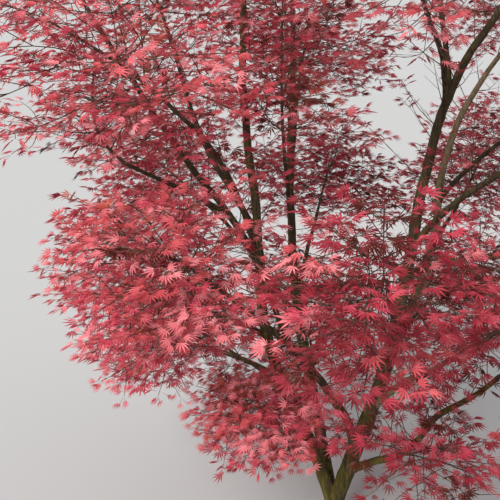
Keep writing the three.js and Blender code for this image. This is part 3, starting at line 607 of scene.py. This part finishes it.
def grow_twigs(mass, limb, pieces, seed):
    """The stem of a mass and the opposite pairs of twigs along it, as in the solids."""
    draw = seeded(seed)
    stem = mass_stem(mass, limb, draw)
    frames = carried_frames(stem["points"], stem["side"], stem["way"])
    twigs = [stem]
    for i in range(PAIRS):
        share = mix(FIRST_PAIR_AT, LAST_PAIR_AT, i / (PAIRS - 1))
        k = next(j for j, t in enumerate(STEM_RINGS_AT) if t > share) - 1
        before, after = stem["points"][k:k + 2]
        node = before.lerp(after, (share - STEM_RINGS_AT[k]) / (STEM_RINGS_AT[k + 1] - STEM_RINGS_AT[k]))
        way = (after - before).normalized()
        side = frames[k][1 + i % 2]
        side = (side - way * side.dot(way)).normalized()
        foot_radius = max(TWIG_LEAST_RADIUS, TWIG_OF_STEM * mix(*stem["radii"], share))
        for turn in (PAIR_ANGLE, -PAIR_ANGLE):
            aside = turn_aside(way, side, turn + jitter(draw, ANGLE_JITTER))
            twig = add_twig(node, aside, foot_radius, mass, pieces, draw)
            if twig:
                twigs.append(twig)
    return twigs


def smooth_line(points, count):
    """Evenly spread points on a smooth line through the given ones."""
    padded = [points[0] * 2 - points[1], *points, points[-1] * 2 - points[-2]]
    spans = len(points) - 1
    line = []
    for i in range(count):
        t = i / (count - 1) * spans
        k = min(int(t), spans - 1)
        u = t - k
        a, b, c, d = padded[k:k + 4]
        line.append((b * 2 + (c - a) * u + (a * 2 - b * 5 + c * 4 - d) * u ** 2
                     + (b * 3 - a - c * 3 + d) * u ** 3) * 0.5)
    return line


def line_length(points):
    return sum((b - a).length for a, b in zip(points, points[1:]))


class SprayPlaces:
    """Where sprays already stand, so that the next one finds light of its own."""

    def __init__(self):
        self.cells = {}

    def take(self, place, room):
        """Takes a place if no other spray is nearer than the room, and says whether it did."""
        x, y, z = (math.floor(part / SPRAY_CELL) for part in place)
        around = (-1, 0, 1)
        for cell in ((x + i, y + j, z + k) for i in around for j in around for k in around):
            for other in self.cells.get(cell, ()):
                rise = (other.z - place.z) * SPRAY_ROOM_UP
                if (other.x - place.x) ** 2 + (other.y - place.y) ** 2 + rise ** 2 < room ** 2:
                    return False
        self.cells.setdefault((x, y, z), []).append(place)
        return True


def about(dice, middle, most):
    return middle + dice.uniform(-1, 1) * most


def frame_at(frames, share):
    """The frame that is nearest to a place on a line."""
    last = len(frames) - 1
    return frames[min(int(share * last + 0.5), last)]


class Growth:
    """What grows in one piece of the crown: lines for twigs and stalks, and leaves."""

    def __init__(self):
        self.twigs, self.branchlets, self.forks = [], [], []
        self.shoots, self.stalks, self.leaves = [], [], []

    def add_leaf(self, node, way, outward, size, colour, dice):
        """One leaf on its stalk. The blade hangs a little and faces up and a little out of the crown."""
        root = node + way * dice.uniform(*STALK_LENGTHS)
        along = Vector((way.x, way.y, way.z * LEAF_LEVELS - dice.uniform(*LEAF_DROOP))).normalized()
        tilt = Vector([dice.uniform(-LEAF_TILT, LEAF_TILT) for _ in range(3)])
        normal = UP + outward * LEAF_OUTWARD + tilt
        normal = (normal - along * normal.dot(along)).normalized()
        length = size * about(dice, 1, LEAF_LENGTH_JITTER)
        spread = dice.uniform(*LEAF_SPREAD)
        curl = dice.uniform(*LEAF_CURL)
        self.stalks.append((root, node))
        self.leaves.append((root, along, normal, length, spread, curl, colour))

    def add_spray(self, foot, way, outward, leaf_size, colour, dice):
        """A short shoot with a pair of leaves at its side, a pair at its tip and sometimes one between."""
        tip = foot + way * dice.uniform(*SHOOT_LENGTHS)
        self.shoots.append((foot, tip))
        level = side_of(way, dice.uniform(-SHOOT_ROLL, SHOOT_ROLL))
        size = leaf_size * mix(LEAF_LENGTH_LOW, LEAF_LENGTH_HIGH, min(1, tip.z / CROWN_HEIGHT))
        inner = foot.lerp(tip, INNER_PAIR_AT)
        for node, angle, share in ((inner, INNER_LEAF_ANGLE, INNER_LEAF_SIZE), (tip, OUTER_LEAF_ANGLE, 1)):
            for turn in (1, -1):
                aside = turn_aside(way, level, turn * about(dice, angle, LEAF_ANGLE_JITTER))
                self.add_leaf(node, aside, outward, size * share, colour, dice)
        if dice.random() < END_LEAF_CHANCE:
            self.add_leaf(tip, way, outward, size * END_LEAF_SIZE, colour, dice)


class MassGrowth:
    """The finer growth of one mass: branchlets on its twigs, and sprays of leaves on those."""

    def __init__(self, mass, growth, places, pieces, dice):
        self.mass = mass
        self.growth = growth
        self.places = places
        self.pieces = pieces
        self.dice = dice
        self.leaf_size = LEAF_SIZES[mass["palette"]]
        self.room = SPRAY_ROOM * self.leaf_size / math.sqrt(mass["leafy"])

    def add_spray(self, foot, way, outward, colour):
        """A spray where the mass has room for one."""
        rise = way.z * SPRAY_LEVELS + self.dice.uniform(*SPRAY_RISE)
        way = Vector((way.x, way.y, rise)).normalized()
        middle = foot + way * SPRAY_MIDDLE
        if not in_own_space(middle, self.mass) or not in_box(middle):
            return False
        if not self.places.take(middle, self.room):
            return False
        self.growth.add_spray(foot, way, outward, self.leaf_size, colour, self.dice)
        return True

    def pair_ways(self, along, roll, angle):
        """The ways of an opposite pair, the second drawn after the first has grown."""
        side = side_of(along, self.dice.uniform(-roll, roll))
        for turn in (1, -1):
            yield turn_aside(along, side, turn * about(self.dice, *angle))

    def add_branchlet(self, foot, way, length, outward, from_side=False):
        """A branchlet levels out and bends outward, with sprays in opposite pairs and one at its tip."""
        level = Vector((way.x, way.y, way.z * (1 - BRANCHLET_LEVELS))).normalized()
        rise = self.dice.uniform(-BRANCHLET_RISE, BRANCHLET_RISE)
        turned = (level + outward * BRANCHLET_BEND + UP * rise).normalized()
        for share in BRANCHLET_TRIES:
            run = length * share
            bend = foot + level * (run / 2)
            tip = bend + turned * (run / 2)
            inside = in_own_space(tip + turned * SPRAY_MIDDLE, self.mass)
            if inside and self.pieces.clear(foot, tip, BRANCHLET_RADII[0]):
                break
        else:
            return False
        colour = self.dice.choices(range(len(LEAF_COLOURS)), PALETTES[self.mass["palette"]])[0]
        points = smooth_line([foot, bend, tip], BRANCHLET_RINGS)
        frames = carried_frames(points)
        grown = self.add_spray(tip, turned, outward, colour)
        for i in range(1, int(run / SPRAY_STEP) + 1):
            share = max(0, 1 - i * SPRAY_STEP / run)
            node = point_at(points, share)
            along = frame_at(frames, share)[0]
            for aside in self.pair_ways(along, SPRAY_ROLL, SPRAY_ANGLE):
                grown = self.add_spray(node, aside, outward, colour) or grown
        if not from_side and run > SIDE_BRANCHLET_FROM:
            side_length = run * SIDE_BRANCHLET_SHARE
            for share in SIDE_BRANCHLETS_AT:
                node = point_at(points, share)
                along = frame_at(frames, share)[0]
                for aside in self.pair_ways(along, SIDE_BRANCHLET_ROLL, SIDE_BRANCHLET_ANGLE):
                    grown = self.add_branchlet(node, aside, side_length, outward, True) or grown
        if grown:
            self.growth.branchlets.append((points, *BRANCHLET_RADII))
        return grown

    def add_twig(self, twig):
        """A twig of the solids: branchlets stand in pairs back from its end, and one goes on from it."""
        count = max(TWIG_RINGS_LEAST, int(line_length(twig["points"]) / TWIG_RING_SPACING))
        line = smooth_line(twig["points"], count)
        self.growth.twigs.append((line, *twig["radii"]))
        frames = carried_frames(line, twig["side"], twig["way"])
        run = line_length(line)
        pairs = np.arange(BRANCHLET_STEP, run * (1 - BRANCHLET_BARE_SHARE), BRANCHLET_STEP)
        for order, back in enumerate([0, *pairs]):
            share = max(0, 1 - back / run)
            node = point_at(line, share)
            along, side, across = frame_at(frames, share)
            outward = Vector((node.x - CROWN_AXIS.x, node.y - CROWN_AXIS.y, 0))
            outward = outward.normalized() if outward.length > NEAR_AXIS else UP.copy()
            if order == 0:
                self.add_branchlet(node, along, BRANCHLET_LENGTH, outward)
                continue
            pair_side = (side, across)[(order + 1) % 2]
            for turn in (1, -1):
                if self.dice.random() > BRANCHLETS_KEPT * self.mass["leafy"]:
                    continue
                way = turn_aside(along, pair_side * turn, about(self.dice, *BRANCHLET_ANGLE))
                self.add_branchlet(node, way, self.dice.uniform(*BRANCHLET_LENGTHS), outward)


def tube(points, radii, sides):
    """Vertices and triangles of a tapering tube, with its tip closed to a point."""
    frames = carried_frames(points)
    centres = np.array(points)
    side = np.array([frame[1] for frame in frames])
    across = np.array([frame[2] for frame in frames])
    turns = np.arange(sides) * (2 * math.pi / sides)
    ring = np.cos(turns)[None, :, None] * side[:, None] + np.sin(turns)[None, :, None] * across[:, None]
    verts = centres[:, None] + ring * np.asarray(radii)[:, None, None]
    verts = np.concatenate([verts.reshape(-1, 3), centres[-1:] + np.array(frames[-1][0]) * radii[-1]])
    return verts, tube_triangles(len(points), sides)


def tube_triangles(rings, sides):
    s = np.arange(sides)
    after = (s + 1) % sides
    first = (np.arange(rings - 1) * sides)[:, None]
    a = first + s
    b = first + after
    lower = np.stack([a, b, b + sides], -1).reshape(-1, 3)
    upper = np.stack([a, b + sides, a + sides], -1).reshape(-1, 3)
    last = (rings - 1) * sides
    cap = np.stack([last + s, last + after, np.full(sides, rings * sides)], -1)
    return np.concatenate([lower, upper, cap])


class MeshParts:
    """Gathers vertices and triangles, each lot with the number of its material."""

    def __init__(self):
        self.verts = []
        self.faces = []
        self.kinds = []
        self.count = 0

    def add(self, verts, faces, kind=0):
        self.verts.append(verts)
        self.faces.append(faces + self.count)
        self.kinds.append(np.broadcast_to(kind, len(faces)))
        self.count += len(verts)

    def build(self, name, materials, smooth):
        verts = np.concatenate(self.verts)
        faces = np.concatenate(self.faces)
        mesh = bpy.data.meshes.new(name)
        mesh.vertices.add(len(verts))
        mesh.vertices.foreach_set("co", verts.astype(np.float32).ravel())
        mesh.loops.add(faces.size)
        mesh.loops.foreach_set("vertex_index", faces.astype(np.int32).ravel())
        mesh.polygons.add(len(faces))
        mesh.polygons.foreach_set("loop_start", np.arange(0, faces.size, 3, dtype=np.int32))
        for material in materials:
            mesh.materials.append(material)
        mesh.polygons.foreach_set("material_index", np.concatenate(self.kinds).astype(np.int32))
        mesh.polygons.foreach_set("use_smooth", np.full(len(faces), smooth))
        mesh.update(calc_edges=True)
        mesh.validate()
        piece = bpy.data.objects.new(name, mesh)
        bpy.context.scene.collection.objects.link(piece)
        return piece


def leaf_pattern():
    """Polar places (reach, angle, height) and triangles of a leaf: five narrow lobes, two small ones."""
    lobes = [(-angle, length) for angle, length in reversed(LOBES[1:])] + list(LOBES)
    places = [(0, 0, 0)]
    faces = []
    for angle, length in lobes:
        tip = len(places)
        reach = LOBE_WIDEST_AT * length
        half_width = LOBE_HALF_WIDTH * mix(LOBE_WIDTH_KEPT, 1, length)
        aside = math.degrees(math.atan2(half_width, reach))
        places.append((length, angle, 0))
        places.append((reach, angle - aside, LOBE_FOLD))
        if abs(angle) == LOBES[-1][0]:
            faces.append((0, tip + 1, tip))
            continue
        places.append((reach, angle + aside, LOBE_FOLD))
        faces += [(0, tip + 1, tip), (0, tip, tip + 2)]
    return np.array(places, float), np.array(faces)


def leaves_mesh(leaves):
    """All the leaves at once: the same pattern, spread, folded, curled, turned and sized for each."""
    places, faces = leaf_pattern()
    roots, along, normal, length, spread, curl, colours = (np.array(part) for part in zip(*leaves))
    reach, angle, height = places.T
    angle = np.radians(angle) * spread[:, None]
    x = reach * np.cos(angle)
    y = reach * np.sin(angle)
    z = height * (FOLD_UNSPREAD - spread[:, None]) - curl[:, None] * reach ** 2
    local = np.stack([x, y, z], -1) * length[:, None, None]
    axes = np.stack([along, np.cross(normal, along), normal], 1)
    verts = roots[:, None] + local @ axes
    index = faces[None] + (np.arange(len(leaves)) * len(places))[:, None, None]
    parts = MeshParts()
    parts.add(verts.reshape(-1, 3), index.reshape(-1, 3), np.repeat(colours, len(faces)))
    return parts


def stalks_mesh(parts, stalks, radius, kind, even):
    """Thin three-sided stalks, as thick at the second end as at the first or come to a point there."""
    feet, tips = (np.array(ends) for ends in zip(*stalks))
    way = tips - feet
    off_every_way = (0.3, 0.2, 0.93)
    side = np.cross(way, off_every_way)
    side /= np.linalg.norm(side, axis=1)[:, None]
    across = np.cross(way, side)
    across /= np.linalg.norm(across, axis=1)[:, None]
    turns = np.radians((0, 120, 240))
    edges = [(side * math.cos(turn) + across * math.sin(turn)) * radius for turn in turns]
    ring = [feet + edge for edge in edges]
    if even:
        verts = np.stack([*ring, *(tips + edge for edge in edges)], 1)
        faces = tube_triangles(2, 3)[:-3]
    else:
        verts = np.stack([*ring, tips], 1)
        faces = np.array([(0, 1, 3), (1, 2, 3), (2, 0, 3)])
    index = faces[None] + (np.arange(len(stalks)) * verts.shape[1])[:, None, None]
    parts.add(verts.reshape(-1, 3), index.reshape(-1, 3), kind)


def bark_relief(around, along, dice):
    """Ridges that run along a limb and lumps across it, as shares of its radius."""
    relief = np.zeros(np.broadcast(around, along).shape)
    for count, turns_range, pace_range, depth in (RIDGES, LUMPS):
        for _ in range(count):
            turns = dice.randint(*turns_range)
            pace = dice.uniform(*pace_range)
            phase = dice.uniform(0, 2 * math.pi)
            relief += np.sin(turns * around + pace * 2 * math.pi * along + phase) * depth
    return relief


def node_swelling(along, dice):
    """Low rings where earlier years' shoots ended."""
    swelling = np.zeros_like(along)
    place = dice.uniform(*NODE_FIRST)
    while place < along[-1]:
        swelling += dice.uniform(*NODE_SWELLS) * np.exp(-((along - place) / NODE_LENGTH) ** 2)
        place += dice.uniform(*NODE_SPACINGS)
    return swelling


def limb_line(limb, count):
    """The centre line of a limb, with the small wander that a grown limb has."""
    line = smooth_line(limb["points"], count)
    phase = limb["length"] * WANDER_PHASE
    for i, point in enumerate(line):
        share = i / (count - 1)
        along = share * limb["length"]
        sway = WANDER * math.sin(math.pi * share)
        point.x += sway * math.sin(along * WANDER_PACES[0] + phase)
        point.y += sway * math.sin(along * WANDER_PACES[1] + 2 * phase)
    return line


def sides_for(radius, table):
    return next(sides for least, sides in table if radius > least)


def limb_bark(parts, limb, kind, dice):
    """A limb with its bark: a tube whose rings are lifted by ridges, lumps and nodes."""
    sides = sides_for(limb["radii"][0], LIMB_SIDES)
    count = int(limb["length"] / RING_SPACING)
    line = limb_line(limb, count)
    shares = np.arange(count) / (count - 1)
    along = shares * limb["length"]
    radii = np.array([radius_at(limb, share) for share in shares])
    radii *= 1 + node_swelling(along, dice)
    first = 0
    if not limb["parent"]:
        first = int(np.searchsorted(along, BASE_TOP - BASE_OVERLAP))
        radii -= BASE_SINK * np.clip((BASE_TOP - along) / BASE_OVERLAP, 0, 1)
    verts, _ = tube(line, radii, sides)
    turns = np.arange(sides) * (2 * math.pi / sides)
    relief = bark_relief(turns[None, :], along[:, None], dice)
    centres = np.array(line)[:, None]
    rings = verts[:-1].reshape(count, sides, 3)
    rings = centres + (rings - centres) * (1 + relief)[..., None]
    verts = np.concatenate([rings[first:].reshape(-1, 3), verts[-1:]])
    parts.add(verts, tube_triangles(count - first, sides), kind)


def end_cap(sides, centre):
    """Triangles that close the first ring of a tube, seen from outside."""
    s = np.arange(sides)
    return np.stack([(s + 1) % sides, s, np.full(sides, centre)], -1)


def base_solid(limbs):
    """The root flare and the feet of the stems, as one rough mesh to be joined by remeshing."""
    parts = MeshParts()
    heights = np.linspace(FLARE_FROM, FLARE_HEIGHT, FLARE_RINGS)
    turns = np.arange(FLARE_SIDES) * (2 * math.pi / FLARE_SIDES)
    rise = np.clip(heights / FLARE_HEIGHT, 0, 1)
    fall = ((1 - rise) ** 2)[:, None]
    radius = FLARE_TOP_RADIUS + (FLARE_RADIUS - FLARE_TOP_RADIUS) * fall
    radius = radius * (1 + ROOT_RIDGE_DEPTH * fall * np.cos(ROOT_RIDGES * turns)[None])
    z = np.broadcast_to(heights[:, None], radius.shape)
    verts = np.stack([radius * np.cos(turns), radius * np.sin(turns), z], -1).reshape(-1, 3)
    verts = np.concatenate([verts, [(0, 0, FLARE_HEIGHT), (0, 0, FLARE_FROM)]])
    walls = tube_triangles(FLARE_RINGS, FLARE_SIDES)
    parts.add(verts, np.concatenate([walls, end_cap(FLARE_SIDES, len(verts) - 1)]))
    for limb in limbs.values():
        if limb["parent"]:
            continue
        sides = sides_for(limb["radii"][0], LIMB_SIDES)
        along = np.linspace(0, BASE_TOP, FOOT_RINGS)
        line = [point_at(limb["points"], a / limb["length"]) for a in along]
        taper = np.array([radius_at(limb, a / limb["length"]) for a in along])
        sunk = BASE_SINK * np.clip((along - (BASE_TOP - BASE_OVERLAP)) / BASE_OVERLAP, 0, 1)
        verts, faces = tube(line, taper - sunk + FOOT_SWELL, sides)
        verts = np.concatenate([verts, np.array(line[:1])])
        parts.add(verts, np.concatenate([faces, end_cap(sides, len(verts) - 1)]))
    return parts


def make_base(limbs, material):
    """The trunk: flare and necks melted together, with the relief of old bark, cut flat on the ground."""
    piece = base_solid(limbs).build("trunk_bark", [material], True)
    remesh = piece.modifiers.new("join", "REMESH")
    remesh.mode = "VOXEL"
    remesh.voxel_size = 0.0032
    melt = piece.modifiers.new("melt", "SMOOTH")
    melt.factor = 0.5
    melt.iterations = 8
    graph = bpy.context.evaluated_depsgraph_get()
    joined = bpy.data.meshes.new_from_object(piece.evaluated_get(graph))
    piece.modifiers.clear()
    piece.data = joined
    joined.materials.clear()
    joined.materials.append(material)
    for vertex in joined.vertices:
        place = Vector((vertex.co.x, vertex.co.y, vertex.co.z * BASE_GRAIN))
        vertex.co += vertex.normal * sum(depth * noise.noise(place * pace) for depth, pace in BASE_LUMPS)
    shape = bmesh.new()
    shape.from_mesh(joined)
    everything = [*shape.verts, *shape.edges, *shape.faces]
    cut = bmesh.ops.bisect_plane(shape, geom=everything, plane_co=(0, 0, 0), plane_no=UP, clear_inner=True)
    rim = [part for part in cut["geom_cut"] if isinstance(part, bmesh.types.BMEdge)]
    bmesh.ops.contextual_create(shape, geom=rim)
    bmesh.ops.triangulate(shape, faces=shape.faces)
    shape.to_mesh(joined)
    shape.free()
    joined.polygons.foreach_set("use_smooth", np.ones(len(joined.polygons), bool))
    return piece


def grow_inner_twigs(growth, limbs, dice):
    """Thin twigs along the limbs. Most are bare, as shaded shoots are, and a few end in a spray."""
    for limb in limbs.values():
        along = dice.uniform(*INNER_TWIG_FIRST)
        while along < limb["length"] * INNER_TWIGS_TO:
            share = along / limb["length"]
            foot = point_at(limb["points"], share)
            way = (point_at(limb["points"], min(1, share + LOOK_AHEAD)) - foot).normalized()
            side = side_of(way, dice.uniform(-180, 180))
            aside = turn_aside(way, side, dice.uniform(*INNER_TWIG_ANGLES))
            length = dice.uniform(*INNER_TWIG_LENGTHS)
            bent = (aside + UP * dice.uniform(*INNER_TWIG_RISE)).normalized()
            tip = foot + (aside + bent) * (length / 2)
            points = smooth_line([foot, foot + aside * (length / 2), tip], INNER_TWIG_RINGS)
            growth.twigs.append((points, *INNER_TWIG_RADII))
            ends = [(tip, bent)]
            for at in INNER_FORKS_AT:
                node = point_at(points, at)
                turn = dice.choice((1, -1))
                fork = turn_aside(bent, bent.cross(side).normalized() * turn, INNER_FORK_ANGLE)
                end = node + fork * (length * dice.uniform(*INNER_FORK_LENGTHS))
                growth.forks.append(([node, node.lerp(end, 0.5), end], *INNER_FORK_RADII))
                ends.append((end, fork))
            for end, onward in ends:
                if dice.random() < INNER_SPRAY_CHANCE:
                    colour = dice.choices(range(len(LEAF_COLOURS)), INNER_PALETTE)[0]
                    growth.add_spray(end, onward, onward, 1, colour, dice)
            along += dice.uniform(*INNER_TWIG_STEPS)


class Nodes:
    """A short way to write a material's nodes. Their inputs are values or outputs of other nodes."""

    def __init__(self, name):
        self.material = bpy.data.materials.new(name)
        self.material.use_nodes = True
        self.tree = self.material.node_tree

    def give(self, socket, value):
        if hasattr(value, "is_output"):
            self.tree.links.new(value, socket)
        else:
            socket.default_value = (*value, 1) if socket.type == "RGBA" else value

    def add(self, kind, inputs=None, **settings):
        node = self.tree.nodes.new(kind)
        for key, value in settings.items():
            setattr(node, key, value)
        for key, value in (inputs or {}).items():
            self.give(node.inputs[key], value)
        return node

    def finished(self, inputs):
        """The material, with what its shader is given."""
        shader = self.tree.nodes["Principled BSDF"]
        for key, value in inputs.items():
            self.give(shader.inputs[key], value)
        return self.material

    def stretched_places(self, scale):
        place = self.add("ShaderNodeTexCoord").outputs["Object"]
        return self.add("ShaderNodeMapping", {"Vector": place, "Scale": scale}).outputs["Vector"]

    def noise(self, places, scale, detail, roughness):
        inputs = {"Vector": places, "Scale": scale, "Detail": detail, "Roughness": roughness}
        return self.add("ShaderNodeTexNoise", inputs).outputs["Fac"]

    def ramp(self, factor, stops):
        node = self.add("ShaderNodeValToRGB", {"Fac": factor})
        for element, (place, colour) in zip(node.color_ramp.elements, stops):
            element.position = place
            element.color = (*colour, 1)
        for place, colour in stops[2:]:
            node.color_ramp.elements.new(place).color = (*colour, 1)
        return node.outputs["Color"]

    def eased(self, value, low, high, to_low, to_high):
        inputs = {"Value": value, "From Min": low, "From Max": high, "To Min": to_low, "To Max": to_high}
        return self.add("ShaderNodeMapRange", inputs).outputs["Result"]

    def total(self, a, b):
        return self.add("ShaderNodeMath", {0: a, 1: b}, operation="ADD").outputs[0]

    def part(self, vector, name):
        return self.add("ShaderNodeSeparateXYZ", {"Vector": vector}).outputs[name]

    def bump(self, height, strength, distance):
        inputs = {"Height": height, "Strength": strength, "Distance": distance}
        return self.add("ShaderNodeBump", inputs).outputs["Normal"]

    def mix(self, factor, a, b):
        node = self.add("ShaderNodeMix", {"Factor": factor}, data_type="RGBA")
        for name, value in (("A", a), ("B", b)):
            self.give(next(s for s in node.inputs if s.name == name and s.type == "RGBA"), value)
        return next(s for s in node.outputs if s.type == "RGBA")


def grey(level):
    return (level, level, level)


def bark_material(name, dark, middle, light, moss, moss_from, moss_to):
    """Bark with long grain, lichen flecks, moss where its noise is high enough, and dark streaks. The moss
    leans to the lit -X side as painted light, and the bark darkens upward as painted shade.
    """
    nodes = Nodes(name)
    patch_places = nodes.stretched_places((1, 1, 0.7))
    grain = nodes.noise(nodes.stretched_places((1, 1, 0.16)), scale=120, detail=6, roughness=0.7)
    patches = nodes.noise(patch_places, scale=24, detail=5, roughness=0.62)
    flecks = nodes.noise(patch_places, scale=95, detail=3, roughness=0.5)
    streaks = nodes.noise(nodes.stretched_places((1, 1, 0.12)), scale=46, detail=4, roughness=0.6)
    colour = nodes.ramp(grain, [(0.3, dark), (0.5, middle), (0.72, light)])
    lichen = tuple(min(1, 1.5 * c) for c in light)
    colour = nodes.mix(nodes.ramp(flecks, [(0.6, grey(0)), (0.7, grey(0.55))]), colour, lichen)
    height = nodes.part(nodes.stretched_places((1, 1, 1)), "Z")
    rise = nodes.eased(height, MOSS_LOW, MOSS_HIGH, MOSS_SHIFT, -MOSS_SHIFT)
    # Painted light: the moss, which is lighter than the bark, thickens on the side that faces -X, where
    # the key light falls.
    facing = nodes.part(nodes.add("ShaderNodeNewGeometry").outputs["Normal"], "X")
    side = nodes.eased(facing, -0.8, 0.8, MOSS_PAINTED_LIT_SIDE, -MOSS_PAINTED_LIT_SIDE)
    moss_and_lit_side = nodes.total(patches, nodes.total(rise, side))
    colour = nodes.mix(nodes.ramp(moss_and_lit_side, [(moss_from, grey(0)), (moss_to, grey(0.75))]), colour, moss)
    colour = nodes.mix(nodes.ramp(streaks, [(0.46, grey(0)), (0.62, grey(0.7))]), colour, dark)
    # Painted shade: the bark darkens upward, standing for the shade of the crown above it.
    colour = nodes.mix(nodes.eased(height, MOSS_LOW, MOSS_HIGH, 0, UPPER_PAINTED_SHADE), colour, dark)
    return nodes.finished({
        "Base Color": colour,
        "Roughness": nodes.ramp(grain, [(0.2, grey(0.95)), (0.8, grey(0.72))]),
        "Normal": nodes.bump(nodes.total(grain, patches), strength=0.55, distance=0.0012),
        "Specular IOR Level": 0.25,
    })


def twig_material(name, dark, light, roughness):
    """Young bark: a little lighter and darker along its length, with a fine grain."""
    nodes = Nodes(name)
    places = nodes.stretched_places((1, 1, 1))
    tones = nodes.noise(places, scale=60, detail=3, roughness=0.6)
    grain = nodes.noise(places, scale=700, detail=2, roughness=0.5)
    return nodes.finished({
        "Base Color": nodes.ramp(tones, [(0.35, dark), (0.65, light)]),
        "Roughness": roughness,
        "Normal": nodes.bump(grain, strength=0.3, distance=0.0004),
        "Specular IOR Level": 0.3,
    })


def leaf_material(name, colour):
    """A thin soft leaf. Its colour is plain, and the sprays are dealt different ones."""
    return Nodes(name).finished({"Base Color": colour, "Roughness": 0.55, "Specular IOR Level": 0.25})


def make_materials():
    """Lists of materials for limbs, twigs and leaves, in the order in which their meshes number them."""
    return {
        "limbs": [bark_material(name, *values) for name, values in BARKS.items()],
        "twigs": [twig_material(name, *values) for name, values in TWIG_BARKS.items()],
        "leaves": [leaf_material(name, colour) for name, colour in LEAF_COLOURS.items()],
    }


def twigs_mesh(growth):
    """Twigs, branchlets, forks, shoots and leaf stalks as one mesh."""
    parts = MeshParts()
    for lines, kind in ((growth.twigs, 0), (growth.branchlets, 0), (growth.forks, 1)):
        for line, foot_radius, tip_radius in lines:
            radii = np.linspace(foot_radius, tip_radius, len(line))
            parts.add(*tube(line, radii, sides_for(foot_radius, TWIG_SIDES)), kind)
    stalks_mesh(parts, growth.shoots, SHOOT_RADIUS, 1, True)
    stalks_mesh(parts, growth.stalks, STALK_RADIUS, 2, False)
    return parts


def dress(piece, nodes):
    """A piece rides on the one body, and stands for the solids of some nodes or of none."""
    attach(piece, "root")
    if nodes:
        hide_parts(*nodes)


def make_leaves(name, growth, materials, nodes):
    dress(leaves_mesh(growth.leaves).build(f"{name}_leaves", materials["leaves"], False), nodes)


def make_twigs(name, growth, materials, nodes):
    dress(twigs_mesh(growth).build(f"{name}_twigs", materials["twigs"], True), nodes)


def make_limbs(limbs, materials):
    """Trunk, stems and boughs with the relief of their bark, and the thin twigs along them."""
    barks = list(BARKS)
    mossy = materials["limbs"][barks.index("mossy_bark")]
    dress(make_base(limbs, mossy), ["trunk"])
    stems = [name for name in limbs if name.endswith("_stem")]
    boughs = [name for name in limbs if name not in stems]
    for piece_name, names in (("stem_bark", stems), ("bough_bark", boughs)):
        parts = MeshParts()
        for index, name in enumerate(names):
            kind = barks.index(BARK_OF.get(name, "dark_bark"))
            limb_bark(parts, limbs[name], kind, random.Random(SEED + index))
        dress(parts.build(piece_name, materials["limbs"], True), names)
    inner = Growth()
    grow_inner_twigs(inner, limbs, random.Random(SEED))
    make_twigs("inner", inner, materials, [])
    make_leaves("inner", inner, materials, [])


def make_crown(limbs, masses, materials):
    """Every mass, joined in a few pieces of leaves and of twigs."""
    pieces = LimbPieces(limbs)
    places = SprayPlaces()
    growths = {}
    for index, mass in enumerate(masses):
        growth = growths.setdefault(mass["piece"], Growth())
        mass_growth = MassGrowth(mass, growth, places, pieces, random.Random(SEED + index))
        for twig in grow_twigs(mass, limbs[mass["limb"]], pieces, SEED + index):
            mass_growth.add_twig(twig)
    for name, growth in growths.items():
        nodes = [f"{mass['name']}_foliage" for mass in masses if mass["piece"] == name]
        make_leaves(name, growth, materials, nodes)
        make_twigs(name, growth, materials, nodes)


def make_floor():
    """A plain pale floor under the tree."""
    mesh = bpy.data.meshes.new("floor")
    far = 60
    corners = [(-far, -far, 0), (far, -far, 0), (far, far, 0), (-far, far, 0)]
    mesh.from_pydata(corners, [], [(0, 1, 2, 3)])
    floor = bpy.data.objects.new("floor", mesh)
    bpy.context.scene.collection.objects.link(floor)
    pale = {"Base Color": (0.474, 0.479, 0.486), "Roughness": 0.95}
    mesh.materials.append(Nodes("pale_floor").finished(pale))


def make_light():
    """Soft studio light: a wide key from the upper left, and a pale room all round."""
    sun = bpy.data.lights.new("key", "SUN")
    sun.energy = 3.8
    sun.angle = math.radians(30)
    sun.color = (1, 0.97, 0.93)
    key = bpy.data.objects.new("key", sun)
    key.location = (-3.2, -5, 5.2)
    key.rotation_mode = "QUATERNION"
    key.rotation_quaternion = (Vector((0, 0, 1)) - key.location).to_track_quat("-Z", "Y")
    bpy.context.scene.collection.objects.link(key)
    world = bpy.data.worlds.new("room")
    world.use_nodes = True
    background = world.node_tree.nodes["Background"].inputs
    background["Color"].default_value = (1, 1, 1, 1)
    background["Strength"].default_value = 0.68
    bpy.context.scene.world = world
    bpy.context.scene.view_settings.view_transform = "Standard"


def make_camera():
    data = bpy.data.cameras.new("camera")
    data.lens = CAMERA_LENS
    camera = bpy.data.objects.new("camera", data)
    camera.location = CAMERA_PLACE
    camera.rotation_euler = (math.radians(90 - CAMERA_PITCH), 0, 0)
    bpy.context.scene.collection.objects.link(camera)
    bpy.context.scene.camera = camera


make_camera()
make_floor()
make_light()
MATERIALS = make_materials()
TREE_LIMBS = grow_limbs()
make_limbs(TREE_LIMBS, MATERIALS)
make_crown(TREE_LIMBS, make_masses(), MATERIALS)
